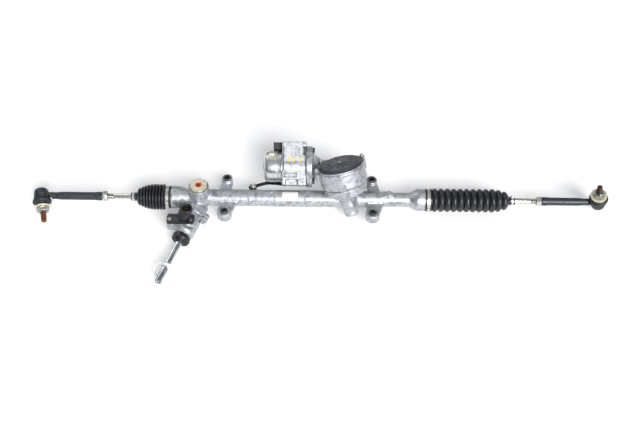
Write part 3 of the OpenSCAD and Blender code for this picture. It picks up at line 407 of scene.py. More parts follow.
def worked(name, colours, patch, grain, depth, roughness, metallic=0.0, corner_shade=None, reach=4.0, rings=None,
           specular=0.5, speck=None):
    """A worked surface. Its colour wanders through colours over patches of patch mm; grain mm and depth mm set the
    bump. roughness is the (smooth, rough) range. corner_shade is the colour of painted shade, laid within reach mm of
    a corner where ambient occlusion finds the surface closed in. rings = (axis, mm) draws turning marks square to an
    axis, and speck = (colour, mm, share) scatters spots."""
    material, tree = blank(name)
    place = add_node(tree, "ShaderNodeTexCoord").outputs["Object"]
    patches = add_node(tree, "ShaderNodeTexNoise", in_Vector=place, in_Scale=1000 / patch, in_Detail=5.0,
                       in_Roughness=0.6).outputs[0]
    ramp = add_node(tree, "ShaderNodeValToRGB", in_Fac=patches)
    bar = ramp.color_ramp
    while len(bar.elements) < len(colours):
        bar.elements.new(0.5)
    for k, colour in enumerate(colours):
        bar.elements[k].position = NOISE_LOW + NOISE_SPAN * k / max(1, len(colours) - 1)
        bar.elements[k].color = linear(colour)
    colour = ramp.outputs["Color"]
    height = add_node(tree, "ShaderNodeTexNoise", in_Vector=place, in_Scale=1000 / grain, in_Detail=3.0,
                      in_Roughness=0.55).outputs[0]
    if rings:
        along = add_node(tree, "ShaderNodeVectorMath", operation="DOT_PRODUCT", in_0=place, in_1=rings[0])
        marks = add_node(tree, "ShaderNodeTexNoise", noise_dimensions="1D", in_W=along.outputs["Value"],
                         in_Scale=1000 / rings[1], in_Detail=2.0).outputs[0]
        height = add_node(tree, "ShaderNodeMath", operation="ADD", in_0=height, in_1=marks).outputs[0]
    if speck:
        spots = add_node(tree, "ShaderNodeTexNoise", in_Vector=place, in_Scale=1000 / speck[1], in_Detail=2.0,
                         in_Roughness=0.7).outputs[0]
        share = add_node(tree, "ShaderNodeMapRange", in_Value=spots, in_1=1 - speck[2], in_2=1 - speck[2] + SPOT_EDGE,
                         in_3=0.0, in_4=SPOT_SHARE).outputs[0]
        colour = add_node(tree, "ShaderNodeMix", data_type="RGBA", in_0=share, in_6=colour,
                          in_7=linear(speck[0])).outputs[2]
    if corner_shade:
        # Painted shade: where the ambient occlusion finds a corner closed, the colour darkens towards corner_shade
        open_sky = add_node(tree, "ShaderNodeAmbientOcclusion", samples=6, in_Distance=reach * MM).outputs["AO"]
        painted_shade = add_node(tree, "ShaderNodeMapRange", in_Value=open_sky, in_1=SHADE_FULL, in_2=SHADE_END, in_3=SHADE_SHARE,
                        in_4=0.0).outputs[0]
        colour = add_node(tree, "ShaderNodeMix", data_type="RGBA", in_0=painted_shade, in_6=colour,
                          in_7=linear(corner_shade)).outputs[2]
    worn = add_node(tree, "ShaderNodeMapRange", in_Value=patches, in_1=WORN_FROM, in_2=WORN_TO, in_3=roughness[0],
                    in_4=roughness[1]).outputs[0]
    bump = add_node(tree, "ShaderNodeBump", in_Strength=1.0, in_Distance=depth * MM, in_Height=height).outputs[0]
    shader = add_node(tree, "ShaderNodeBsdfPrincipled", in_Base_Color=colour, in_Roughness=worn, in_Metallic=metallic,
                      in_Normal=bump)
    if metallic < 0.5:
        shader.inputs["Specular IOR Level"].default_value = specular
    add_node(tree, "ShaderNodeOutputMaterial", in_Surface=shader.outputs[0])
    return material


# Directions of turning marks: along the rack, and along the input shaft
ALONG_RACK, ALONG_INPUT = (1, 0, 0), (-0.309, -0.951, 0)

# Where a finish is given a colour after its metalness, that colour is painted shade for its corners
# Die-cast aluminium: dull grey skin, mottled by the mould, with painted shade darkening its corners
die_cast = worked("die_cast_aluminium", ["#96989d", "#aeb0b5", "#c3c5c9", "#a4a6ab"], 12, 1.9, 0.13, (0.36, 0.55),
                  0.72, "#2e2e30", 6, speck=("#58595c", 2.0, 0.38))
# Machined aluminium: paler than the skin, with a fine grain
machined = worked("machined_aluminium", ["#cfd0cf", "#e0ded6"], 12, 0.8, 0.02, (0.22, 0.34), 0.85, "#55524c", 3)
# Drawn and zinc-plated motor can: smooth, bright, faintly blue
drawn_can = worked("zinc_plated_can", ["#b9bfc2", "#d4d8d9", "#c3c6c4"], 22, 2.0, 0.015, (0.2, 0.32), 0.92,
                   "#4c4a45", 3)
# Passivated zinc on nuts, bands and clips: bright, cloudy, faintly yellow
zinc = worked("passivated_zinc", ["#b7b9b6", "#d9d8cf", "#c9cbcc"], 5, 0.7, 0.02, (0.2, 0.38), 0.9, "#4a4742", 2)
# Cream passivated zinc of the threaded plugs and the stud rings
cream_zinc = worked("cream_passivated_zinc", ["#cfc6a9", "#ebe4cd", "#ddd6bd"], 6, 0.8, 0.02, (0.3, 0.45), 0.55,
                    "#5a5344", 2.5)
# Induction-hardened and ground steel of the rack bar: mirror-like, with fine grinding rings
ground_steel = worked("ground_steel", ["#a9abae", "#c9cbce"], 20, 1.0, 0.004, (0.1, 0.18), 1.0, None,
                      rings=(ALONG_RACK, 0.7))
# Polished input shaft with fine turning marks
shaft_steel = worked("polished_shaft_steel", ["#b4b7bd", "#d6d9de"], 15, 0.6, 0.004, (0.1, 0.2), 1.0, "#3d3b38", 2,
                     rings=(ALONG_INPUT, 0.8))
# Electrocoated forging: nearly black, satin, a little orange-peeled over the forged scale
forged_black = worked("electrocoated_forging", ["#1e2229", "#2d323b", "#252930"], 10, 1.4, 0.08, (0.32, 0.5), 0.1,
                      "#0c0c0d", 3, specular=0.6, speck=("#8c9096", 1.1, 0.27))
# Chloroprene bellows rubber: black with a soft blue-grey bloom
bellows_rubber = worked("chloroprene_rubber", ["#111318", "#1d2027", "#16191f"], 9, 0.9, 0.02, (0.3, 0.46), 0.0,
                        "#060607", 2.5, specular=0.62)
# Boot rubber: duller, with road dust on it
boot_rubber = worked("dusty_boot_rubber", ["#16171a", "#26272b", "#1b1c1f"], 5, 0.8, 0.03, (0.45, 0.62), 0.0,
                     "#0a0a0b", 2)
# Glass-filled black nylon of the connectors
black_nylon = worked("glass_filled_nylon", ["#1b1c1f", "#27292d"], 8, 0.7, 0.025, (0.36, 0.5), 0.0, "#09090a", 2)
# Painted steel drum cover: charcoal, speckled with dust
painted_cover = worked("charcoal_paint", ["#33363c", "#42464d", "#3a3d43"], 12, 1.2, 0.03, (0.36, 0.5), 0.15,
                       "#16171a", 2, speck=("#83868b", 1.6, 0.3))
# Natural white nylon of the shaft loop and the motor's end plug
white_nylon = worked("white_nylon", ["#d9dad9", "#e9e9e7"], 8, 1.0, 0.02, (0.3, 0.42), 0.0, "#a9a9a6", 2)
# Orange-red moulded insert of the yoke plug
orange_insert = worked("orange_polyamide", ["#b8391c", "#d2512d"], 3, 0.6, 0.02, (0.35, 0.5), 0.0, "#4a140a", 1.5)
# Rust over an uncoated stud: brown scale with orange bloom
rust = worked("rusted_steel", ["#3d2216", "#6e3d22", "#94572f", "#57301d"], 3, 0.5, 0.12, (0.6, 0.9), 0.25,
              "#24130c", 2)
# Bearing steel
bearing_steel = worked("bearing_steel", ["#9fa2a6", "#bdbfc2"], 10, 0.5, 0.004, (0.14, 0.24), 1.0)
# Cut gear steel
gear_steel = worked("cut_gear_steel", ["#85888d", "#a6a9ad"], 8, 0.6, 0.01, (0.24, 0.36), 1.0)
# Acetal of the ball seats and the rack bushing
acetal = worked("acetal", ["#e4dfcf", "#f0ecdf"], 8, 1.0, 0.01, (0.3, 0.42), 0.0)
# Cast nylon of the worm wheel's rim
cast_nylon = worked("cast_nylon", ["#d8cba6", "#e8dcbb"], 10, 0.9, 0.015, (0.34, 0.46), 0.0)
# Enamelled copper windings
windings = worked("enamelled_copper", ["#7d3f1e", "#a75a2b"], 3, 1.1, 0.12, (0.3, 0.42), 0.6, rings=(ALONG_RACK, 1.2))
# Laminated rotor
laminations = worked("steel_laminations", ["#4f5358", "#6b6f74"], 6, 0.6, 0.01, (0.34, 0.46), 0.9,
                     rings=(ALONG_RACK, 0.5))
# Green circuit board of the torque sensor
board = worked("epoxy_board", ["#1d4a33", "#27583d"], 5, 1.0, 0.03, (0.35, 0.5), 0.0)
# Matt paper label
paper = worked("label_paper", ["#e6e7e6", "#f4f4f2"], 9, 0.8, 0.01, (0.5, 0.62), 0.0)
# Yellow paint pen
paint_pen = worked("yellow_paint_pen", ["#d9b51f", "#f0d340"], 3, 0.8, 0.02, (0.4, 0.55), 0.0)
# White paint pen
white_pen = worked("white_paint_pen", ["#e4e4e2", "#f2f2f0"], 3, 0.8, 0.02, (0.4, 0.55), 0.0)
# Pale blue paint pen
blue_pen = worked("pale_blue_paint_pen", ["#8fb9c9", "#a9cfdc"], 3, 0.8, 0.02, (0.4, 0.55), 0.0)
# Cold-drawn bar of the inner rods, lightly oiled
drawn_bar = worked("cold_drawn_bar", ["#b4b4b0", "#dad8d0", "#c8c7c1"], 8, 0.7, 0.01, (0.2, 0.32), 0.95, "#3a3835", 2,
                   rings=(ALONG_RACK, 0.6))
# Dull zinc of the stud nuts
dull_zinc = worked("dull_zinc", ["#8d8f90", "#b3b5b4", "#a1a3a3"], 4, 0.6, 0.03, (0.26, 0.42), 0.9, "#33312e", 2)
# Phosphated steel of the mount sleeves: grey on its faces, with painted shadow that turns the inside of the bore nearly
# black
sleeve_steel = worked("phosphated_sleeve_steel", ["#6f7071", "#8b8c8c"], 6, 0.6, 0.02, (0.34, 0.5), 0.7, "#050505", 14)
# Brown stud: thin even rust under oil
brown_stud = worked("oiled_brown_steel", ["#2c1c15", "#4a2f22", "#3a241a"], 4, 0.5, 0.05, (0.4, 0.6), 0.4,
                    "#150d09", 2)
# Nitrile dust cover: black, glossy on its lips
black_rubber = worked("nitrile_rubber", ["#121316", "#1e2024"], 7, 0.8, 0.02, (0.28, 0.44), 0.0, "#050505", 2,
                      specular=0.6)
# Brass contacts
brass = worked("brass_contacts", ["#b08d4a", "#c9a663"], 3, 0.5, 0.01, (0.2, 0.32), 1.0)
# Beige protective film on the motor can
beige_film = worked("beige_protective_film", ["#b5b0a2", "#cfcabb", "#c2bdad"], 9, 0.8, 0.02, (0.28, 0.42), 0.5,
                    "#57503f", 2)
# Black zinc of the stay
black_zinc = worked("black_zinc", ["#202225", "#303236"], 6, 0.6, 0.02, (0.3, 0.45), 0.5, "#0a0a0a", 2)


# CAD nodes that are shown as they are

def dress(finish, *names):
    """Gives CAD nodes whose shape is right a finish."""
    for name in names:
        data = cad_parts[name].data
        data.materials.clear()
        data.materials.append(finish)


dress(bearing_steel, "assist_bearings", "worm_bearings", "torsion_bar")
dress(gear_steel, "input_pinion", "assist_pinion", "worm_shaft", "left_inner_socket", "right_inner_socket",
      "yoke_springs")
dress(ground_steel, "rack_bar")
dress(machined, "support_yoke", "rear_yoke")
dress(zinc, "sensor_screws", "cover_screws")
dress(cream_zinc, "yoke_plug", "rear_yoke_plug")
dress(orange_insert, "yoke_insert")
dress(acetal, "rack_bushing", "left_ball_seat", "right_ball_seat", "left_stud_seat", "right_stud_seat")
dress(cast_nylon, "worm_wheel")
dress(windings, "motor_stator")
dress(laminations, "motor_rotor")
dress(board, "torque_sensor")
dress(die_cast, "worm_end_cap")
dress(shaft_steel, "input_shaft")
dress(forged_black, "flange_bolts")


# Castings: copies of the CAD solids with their corners filleted, and grooves cut into the controller's lid

# Grooves of the lid as x0, y0, x1, y1 and depth
LID_TOP = 37.2
GROOVES = ((131.7, -10, 133.3, 44, 2.0), (175.8, 24, 179.2, 44, 9.0), (133, -27, 163, -17, 4.0))

cast("housing_casting", node_shape("rack_housing"), 1.9, 2, die_cast, "housing", ["rack_housing"])
cast("gear_housing_casting", node_shape("gear_housing"), 1.5, 3, die_cast, "housing", ["gear_housing"])
cast("sensor_housing_casting", node_shape("sensor_housing"), 1.0, 3, die_cast, "housing", ["sensor_housing"])
controller = cast("controller_casting", node_shape("controller_housing"), 1.3, 2, die_cast, "housing",
                  ["controller_housing"])
for x0, y0, x1, y1, deep in GROOVES:
    cut(controller, placed(box(x0, y0, LID_TOP - deep, x1, y1, 42, 0.7, 0.1), CONTROLLER))


# Bellows: thin rubber walls in folds, cut into lengths, and a neck

CUFF_R, NECK_R = 26.0, 9.4
BELLOWS_WALL, ROD_CLEAR_R = 1.5, 7.2
NECK_RUN, NECK_GAP = 3.0, 0.03

# Folds between start and end, of radius big and that depth. From dome on they draw in by drop. The wall is made in
# lengths between the cuts, and shares are the parts of the stretch that lie before each cut.
FOLDS = {
    "left": dict(length=92.0, start=13.0, end=77.0, folds=9, big=30.0, depth=4.6, sharpness=0.75, dome=36.0,
                 drop=12.0, rows=461, cuts=(0.0, 14.0, 32.0, 55.6), shares=(0.0, 0.04, 0.45, 1.0)),
    "right": dict(length=205.0, start=14.0, end=190.0, folds=12, big=27.2, depth=5.6, sharpness=0.8, dome=150.0,
                  drop=9.0, rows=821, cuts=(0.0, 14.0, 30.0, 65.0, 110.0, 145.0, 170.0),
                  shares=(0.0, 0.05, 0.16, 0.39, 0.68, 0.9, 1.0)),
}


def fold_profile(spec):
    """Outer radius of a bellows at z: cuff, then folds r = big - depth + depth |sin|^sharpness, less the dome's drop,
    then the neck."""
    z = np.linspace(0, spec["length"], spec["rows"])
    inside = (z >= spec["start"]) & (z <= spec["end"])
    phase = (z - spec["start"]) / (spec["end"] - spec["start"])
    dome = np.clip((z - spec["dome"]) / (spec["end"] - spec["dome"]), 0, 1) ** 2 * spec["drop"]
    crest = np.abs(np.sin(np.pi * phase * spec["folds"])) ** spec["sharpness"]
    folds = spec["big"] - spec["depth"] + spec["depth"] * crest - dome
    blend_in = np.clip((z - spec["end"]) / NECK_RUN, 0, 1)
    r = np.where(z < spec["start"], CUFF_R,
                 np.where(inside, folds, folds[inside][-1] * (1 - blend_in) + NECK_R * blend_in))
    return np.c_[z, r]


def bellows_length(profile, low, high):
    """Closed thin wall between two heights of the profile: the outer rows, then the same rows drawn in by the wall."""
    inside = profile[(profile[:, 0] > low) & (profile[:, 0] < high)]
    ends = np.interp([low, high], profile[:, 0], profile[:, 1])
    rows = np.concatenate([[[low, ends[0]]], inside, [[high, ends[1]]]])
    inner = rows[::-1] - [0, BELLOWS_WALL]
    inner[:, 1] = np.maximum(inner[:, 1], ROD_CLEAR_R)
    return turned(np.concatenate([rows, inner, rows[:1]]), 0, 72)


for side, spec in FOLDS.items():
    profile, place = fold_profile(spec), BELLOWS[side]
    cuts, shares = spec["cuts"], spec["shares"]
    for k in range(len(cuts) - 1):
        low, high = cuts[k], cuts[k + 1]
        wall = piece(f"{side}_bellows_{k + 1}", placed(bellows_length(profile, low, high), place), bellows_rubber, None,
                     [f"{side}_bellows"], 60)
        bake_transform(wall)
    neck = piece(f"{side}_bellows_neck", placed(bellows_length(profile, cuts[-1] + NECK_GAP, spec["length"]), place),
                 bellows_rubber, None, [f"{side}_bellows"], 60)
    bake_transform(neck)


# Bands and clips that hold the bellows

NECK_CLIP_AT, NECK_CLIP_HALF = 69.5, 2.8


def clamp(radius, low, high, ear=2.8, thick=0.9, at=-90.0):
    """Crimped band: a ring whose radius rises by ear over a short pinched arc at that angle, with its end lapped
    beside the arc."""
    t = angles(288)
    off = np.abs((t - math.radians(at) + np.pi) % (2 * np.pi) - np.pi) * radius
    inner = radius + ear * np.clip((4.2 - off) / 0.9, 0, 1)
    outer = inner + 0.6 * np.clip((14.0 - off) / 0.6, 0, 1) * np.clip((off - 4.6) / 0.6, 0, 1) + thick
    return loft([(inner, low + 0.2), (inner + 0.2, low), (outer - 0.2, low), (outer, low + 0.2), (outer, high - 0.2),
                 (outer - 0.2, high), (inner + 0.2, high), (inner, high - 0.2), (inner, low + 0.2)], t)


piece("bellows_bands", placed(join(clamp(CUFF_R, -135.5, -128.5), clamp(CUFF_R, 460.5, 467.5)), TUBE), zinc, "housing",
      ["bellows_bands"])
for side in SIDES:
    clip = clamp(NECK_R, NECK_CLIP_AT - NECK_CLIP_HALF, NECK_CLIP_AT + NECK_CLIP_HALF, 2.2, 0.8, 150)
    piece(f"{side}_neck_clip", placed(clip, BALL[side]), zinc, f"{side}_tie_rod", [f"{side}_bellows_clip"])


# Tie rods: rod with its ball, lock nut, forged end, boot with its wire, stud, ring and slotted nut

ROD_BALL_R, ROD_R, ROD_NECK_R, ROD_THREAD_R = 13.0, 6.9, 5.8, 6.45
STUD_BALL_R, STUD_NECK_R, STUD_TAPER_R, STUD_THREAD_R = 11.5, 5.4, 7.2, 5.95
END_HOUSE_R, PARTING_HALF = 17.6, 0.9
SEAT_RING_LOW, NUT_LOW, NUT_HIGH, COTTER_AT = 27.6, 30, 41, 58
ARM = {"left": 141.0, "right": 132.0}
THREAD_END = {"left": 141.0, "right": 136.0}
NUT_FLATS = {"left": 24.0, "right": 22.0}
STUD_FINISH = {"left": rust, "right": brown_stud}
STUD_ROWS = [[10.4, STUD_NECK_R], [13, STUD_NECK_R], [16, STUD_TAPER_R], [27, STUD_TAPER_R], [30, STUD_THREAD_R],
             [64, STUD_THREAD_R], [65.4, 5.0], [66, 4.2], [66, 0]]
# Boot wall as rows of height and radius, up its outside and back down its inside
BOOT = [[16.4, 6.3], [18.3, 6.3], [18.7, 7.6], [18.6, 8.8], [17.6, 9.6], [17.9, 10.6], [19.6, 11.8], [21.0, 13.6],
        [21.5, 15.6], [21.0, 17.8], [19.4, 19.6], [17.0, 20.6], [15.8, 21.6], [15.2, 22.8], [13.0, 24.2], [10.4, 24.8],
        [9.9, 25.4], [10.1, 26.6], [9.6, 27.2], [7.6, 27.2], [7.3, 26.4], [7.4, 24.6], [9.6, 23.4], [13.4, 22.6],
        [14.4, 21.0], [16.2, 19.4], [18.6, 18.4], [19.6, 15.6], [19.0, 14.0], [17.6, 12.8], [16.2, 11.2], [16.4, 6.3]]


def ball_and(radius, rows):
    """Profile of a ball of that radius about zero that runs on into the rows at the radius of the first of them."""
    first = math.asin(rows[0][1] / radius)
    t = np.linspace(math.pi, first, 28)
    return np.concatenate([np.c_[radius * np.cos(t), radius * np.sin(t)], rows])


def screw_profile(profile, low, high, depth, pitch):
    """Turned profile cut back between low and high by a thread: r = r(z) - depth (1 - v(z / pitch - t / 2 pi)), where v
    is a triangle wave with its tips cut flat, fading in over one pitch."""
    p = np.asarray(profile, float)
    fine = np.arange(low, high, pitch / 8)
    z = np.concatenate([p[p[:, 0] < low, 0], fine, p[p[:, 0] > high, 0]])[:, None]
    r = np.concatenate([p[p[:, 0] < low, 1], np.interp(fine, p[:, 0], p[:, 1]), p[p[:, 0] > high, 1]])[:, None]
    t = angles(64)[None, :]
    wave = np.clip(1.3 * np.abs(2 * ((z / pitch - t / (2 * np.pi)) % 1.0) - 1) - 0.1, 0, 1)
    fade = np.clip(np.minimum(z - low, high - z) / pitch, 0, 1)
    return on_cylinder(r - depth * (1 - wave) * fade, z, t), sheet_faces(len(z), 64)


def parting_seam(side):
    """Thin flash line that the dies leave round a forged end: a disc round its house and a strip along its arm."""
    way = 1 if side == "left" else -1
    edge = [(0, 9.8), (20, 9.0), (34, 8.8), (46, 9.9), (ARM[side] - 20, 9.9)]
    strip = np.array([(way * x, y) for x, y in edge] + [(way * x, -y) for x, y in edge[::-1]])
    disc = [[-PARTING_HALF, 0], [-PARTING_HALF, END_HOUSE_R], [PARTING_HALF, END_HOUSE_R], [PARTING_HALF, 0]]
    return join(placed(turned(disc, 0.3), LEANED[side]),
                placed(prism(strip, -PARTING_HALF, PARTING_HALF, 0.2), STUD[side]))


for side in SIDES:
    end, rod_body, stud_body = THREAD_END[side], f"{side}_tie_rod", f"{side}_stud"
    rod_rows = [[12.2, ROD_NECK_R], [20, ROD_NECK_R], [27, ROD_R], [end - 27.5, ROD_R], [end - 26.5, ROD_THREAD_R],
                [end + 14, ROD_THREAD_R], [end + 15, 5.4], [end + 15, 0]]
    shape = screw_profile(ball_and(ROD_BALL_R, rod_rows), end - 26, end + 14, 0.75, 1.5)
    piece(f"{side}_rod", placed(shape, BALL[side]), drawn_bar, rod_body, [f"{side}_inner_rod"], 50)
    piece(f"{side}_lock_nut", placed(nut(21, end - 11.2, end - 0.2, 6.5), BALL[side] @ turn("z", 12)), zinc, rod_body,
          [f"{side}_jam_nut"])
    cast(f"{side}_forged_end", join(node_shape(f"{side}_tie_rod_end"), parting_seam(side)), 0.9, 2, forged_black,
         rod_body, [f"{side}_tie_rod_end"])
    boot = piece(f"{side}_gaiter", placed(turned([[z, r] for r, z in BOOT], 0.7), LEANED[side]), boot_rubber, None,
                 [f"{side}_outer_boot"], 60)
    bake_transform(boot)
    piece(f"{side}_gaiter_wire", placed(ring(18.7, 17.95, 9.0, 10.2, 0.3), LEANED[side]), forged_black, rod_body)
    shape = screw_profile(ball_and(STUD_BALL_R, STUD_ROWS), 31, 64, 0.7, 1.25)
    stud = piece(f"{side}_taper_stud", placed(shape, LEANED[side]), STUD_FINISH[side], stud_body,
                 [f"{side}_ball_stud"], 50)
    cut(stud, placed(rod(1.6, -12, 12, 0, 24), LEANED[side] @ move(0, 0, COTTER_AT) @ turn("x", 90)))
    piece(f"{side}_seat_ring", placed(ring(18.5, 7.3, SEAT_RING_LOW, NUT_LOW, 0.7), LEANED[side]), cream_zinc,
          stud_body)
    shape = nut(NUT_FLATS[side], NUT_LOW, NUT_HIGH, 6.0, 1.8, 3.2, 2.0)
    piece(f"{side}_castle_nut", placed(shape, LEANED[side] @ turn("z", 17)), dull_zinc, stud_body,
          [f"{side}_stud_nut"])


# Input side: hexagon socket of the yoke plug, bearings, mount sleeves, dust cover, shaft loop, sensor connector

socket_turn = angles(6)
piece("plug_socket", placed(prism(3.9 * np.c_[np.cos(socket_turn), np.sin(socket_turn)], 42, 42.6, 0.2), YOKE),
      black_nylon, "housing")

# Each bearing ring stays clear of what turns in it
piece("input_bearings", placed(join(ring(17.5, 10.25, 20, 32), ring(9.5, 6.25, -27, -16), ring(15, 9.5, 97, 106)),
                               INPUT), bearing_steel, "housing", ["pinion_bearings"])

# Sleeves are open right through
sleeves = [placed(ring(8.0, 6.0, -12.8, 12.8, 0.5), move(x, 0, 0)) for x in MOUNT_XS]
sleeves += [placed(ring(8.5, 6.5, -14.8, 14.8, 0.5), move(x, REAR_MOUNT_Y, 0)) for x in MOUNT_XS]
piece("bolt_sleeves", join(*sleeves), sleeve_steel, "housing", ["mount_sleeves"])

piece("dust_cover", placed(turned([
    [106, 10.5], [106, 19.2], [107.2, 20.4], [109, 20.8], [115, 20.8], [117, 20.5], [118.2, 19.4], [118.2, 17.9],
    [116.8, 17.0], [115.8, 15.6], [116, 13.9], [118, 12.8], [121.5, 11.7], [124.4, 10.6], [125, 9.4], [124.4, 8.3],
    [121, 8.15], [115, 9.6], [106, 10.5]], 0.8), INPUT), black_rubber, "housing", ["input_dust_cover"])

LOOP = INPUT @ move(-5.7, 0, 204) @ turn("x", -45)
LOOP_R = 17
loop_turn = np.linspace(0, 2 * np.pi, 97)
loop = swept(np.c_[LOOP_R * np.cos(loop_turn), LOOP_R * np.sin(loop_turn), 0 * loop_turn],
             rounded_box(-1.3, -2.4, 1.3, 2.4, 1.0))
cuff = join(ring(10.6, 8.15, 187.5, 195.5, 0.8), box(-2.6, 8.6, 189, 2.6, 13, 194, 0.8, 0.6))
piece("shaft_loop", join(placed(loop, LOOP), placed(cuff, INPUT)), white_nylon, "input_shaft", ["shaft_collar"])

# The connector's shroud leans: its x grows by this much for each mm of height above its plate
SHROUD_LEAN = 0.34
sheared = np.eye(4)
sheared[0, 2] = SHROUD_LEAN
SHROUD = RACK @ move(-90, -65, 10) @ sheared
ribs = [row for z in range(9, 29, 4) for row in ([z, 13.6], [z + 0.4, 14.8], [z + 2, 14.8], [z + 2.4, 13.6])]
shroud = turned([[5, 0], [5, 11.5], [7, 13.6]] + ribs
                + [[31, 13.2], [32, 12.4], [32, 10.0], [31.4, 9.4], [17, 9.2], [17, 0]], 0.4)
shroud_foot = prism(rounded_box(-11, -10, 9, 10, 4), -0.4, 9, 1.0)
latch = box(-4, -17.6, 10, 4, -12.5, 29, 1.2, 0.8)
plate = box(-127, -83, 6.9, -65, -57.2, 10.5, 6, 0.8)
piece("sensor_plug_housing", join(placed(join(shroud, shroud_foot, latch), SHROUD), placed(plate, RACK)), black_nylon,
      "housing", ["sensor_connector"])
pins = [placed(rod(0.8, 16, 27, 0.3, 16), move(x, y, 0)) for x in (-3.6, 0, 3.6) for y in (-3, 3)]
piece("sensor_plug_pins", placed(join(*pins), SHROUD), brass, "housing")


# Electric motor: can with a rolled rim, white end plug, protective film and bare label, connector and markings

def patch(radius, start, end, low, high, thick=0.15):
    """Thin sheet wrapped on a cylinder round Z, between two angles in degrees and two heights."""
    t = np.radians(np.linspace(start, end, 40))
    arc = np.concatenate([np.c_[radius * np.cos(t), radius * np.sin(t)],
                          np.c_[(radius + thick) * np.cos(t[::-1]), (radius + thick) * np.sin(t[::-1])]])
    return prism(arc[::-1], low, high, thick * 0.3)


CAN_R = 36.75
piece("can", placed(turned([
    [86.6, 0], [86.6, 10.8], [87.4, 12.6], [88, 13.6], [88, 26], [88.4, 29.5], [89.8, 32.6], [92, 35], [95, 36.4],
    [97.5, CAN_R], [118.6, CAN_R], [119.4, 36.0], [121, 36.0], [121.8, CAN_R], [125.6, CAN_R], [126.2, 37.8],
    [129, 37.8], [129, 34.3], [98, 34.3], [98, 12], [91, 10], [91, 0]], 0.9, 144), MOTOR), drawn_can, "housing",
      ["motor_can"])
piece("can_plug", placed(turned([[84.2, 0], [84.2, 7.4], [84.8, 8.8], [87, 9.4], [87, 0]], 0.5), MOTOR), white_nylon,
      "housing")
piece("can_film", placed(patch(36.8, 100, 197, 97.8, 118.4), MOTOR), beige_film, "housing")
piece("can_label", placed(patch(37.0, 166, 181, 99, 111), MOTOR), paper, "housing")
cast("motor_plug_housing", node_shape("motor_connector"), 0.7, 1, black_nylon, "housing", ["motor_connector"])

# Strokes on the lid as x, y and angle
STROKES = ((145, 13, 62), (156, 11, 58), (168, 9, 66))
stroke = prism(slot_outline(-9, 9, 1.5), 36.9, 37.25, 0.1)
piece("paint_strokes", placed(join(*[placed(stroke, move(x, y, 0) @ turn("z", a)) for x, y, a in STROKES]), CONTROLLER),
      paint_pen, "housing")


# Worm wheel drum: pressed cover with steps and fine ribs, centre dot and a paint dot

pressing = turned([[89.7, 0], [89.7, 51.2], [93.2, 51.2], [94, 50.6], [93.4, 49.8], [93.2, 47.6], [94.2, 46.6],
                   [97.2, 44.8], [98, 43.4], [98, 21], [98.7, 19.5], [98.7, 12], [99.5, 10.8], [100, 9.4], [100, 0]],
                  0.8, 144)
fine_ribs = [placed(box(22, -0.8, 97.4, 43, 0.8, 99.0, 0.5, 0.3), turn("z", a)) for a in range(15, 375, 30)]
screw_lugs = [placed(rod(6.5, 90.4, 95.2, 0.6), turn("z", a) @ move(54.5, 0, 0)) for a in (24, 140, 190)]
cast("drum_cover", placed(join(pressing, *fine_ribs), ASSIST), 0.9, 1, painted_cover, "housing", ["gear_cover"])
cast("drum_rim", placed(join(ring(54.5, 51.0, 89.7, 93.4, 0.8), *screw_lugs), ASSIST), 0.9, 1, die_cast, "housing")
piece("cover_dot", placed(turned([[99.6, 0], [99.6, 3.2], [100.6, 2.6], [100.8, 0]], 0.3, 48), ASSIST), zinc, "housing")
piece("cover_paint_dot", placed(box(-12, -38, 97.9, -7, -35, 98.3, 0.8, 0.1), ASSIST), blue_pen, "housing")


# Stay: a bent strap with its bolt

STAY_BOLT = move(62, 26, 0)
strap = smooth_path([(52, 21, 10.4), (60, 24, 10.4), (70, 28, 10.4), (84, 33.5, 10.4), (97, 36.5, 10.4),
                     (118, 35.5, 10.4), (137, 33, 10.4)], 60)
foot = turned([[9.2, 2.6], [9.2, 8.6], [11.7, 8.6], [11.7, 2.6], [9.2, 2.6]], 0.5)
piece("stay_strap", placed(join(swept(strap, rounded_box(-4.4, -1.1, 4.4, 1.1, 0.5)), placed(foot, STAY_BOLT)), RACK),
      black_zinc, "housing", ["stay_bracket"])
bolt = join(turned([[11.6, 0], [11.6, 6.6], [12.6, 6.4], [13.2, 5.4], [13.2, 0]], 0.3), nut(10, 12.8, 17.6, 2.2, 1.2),
            rod(2.6, 4, 17.0, 0.3))
piece("stay_bolt", placed(bolt, RACK @ STAY_BOLT), zinc, "housing")


# Marks on the tube: bare label, paint dot, ejector marks

TUBE_LABEL_R = 18.6
# Ejector marks as distance along the tube, angle round it and radius of the tube there
EJECTORS = ((57.9, 212, 19.0), (117.1, 210, 19.0), (184.4, 208, 19.0), (74, 222, 18.5), (205, 214, 18.5))

piece("tube_label", placed(patch(TUBE_LABEL_R, 169, 236, 130, 165.6), TUBE), paper, "housing")
piece("tube_paint_dot", placed(patch(TUBE_LABEL_R, 168, 177, 103.6, 106.8), TUBE), white_pen, "housing")
marks = [placed(turned([[17.0, 0], [17.0, 2.4], [r + 0.25, 2.4], [r + 0.25, 1.9], [r + 0.05, 1.7], [r + 0.05, 0]],
                       0.1, 32), move(0, 0, x) @ turn("z", a) @ turn("y", 90)) for x, a, r in EJECTORS]
piece("ejector_marks", placed(join(*marks), TUBE), die_cast, "housing")


# Camera at the photograph's place: 52 degrees up, 2 m away, 2.3 mm to a pixel, tipped by 0.68 degrees

PHOTO_WIDTH, SENSOR_WIDTH = 640, 36
ELEVATION, TIP = math.radians(52), math.radians(0.68)
DISTANCE, PIXEL = 2000.0, 2.3
RACK_MIDDLE = np.array([216.3, RACK_Y, 0.0])
AIM_BELOW = 33.9


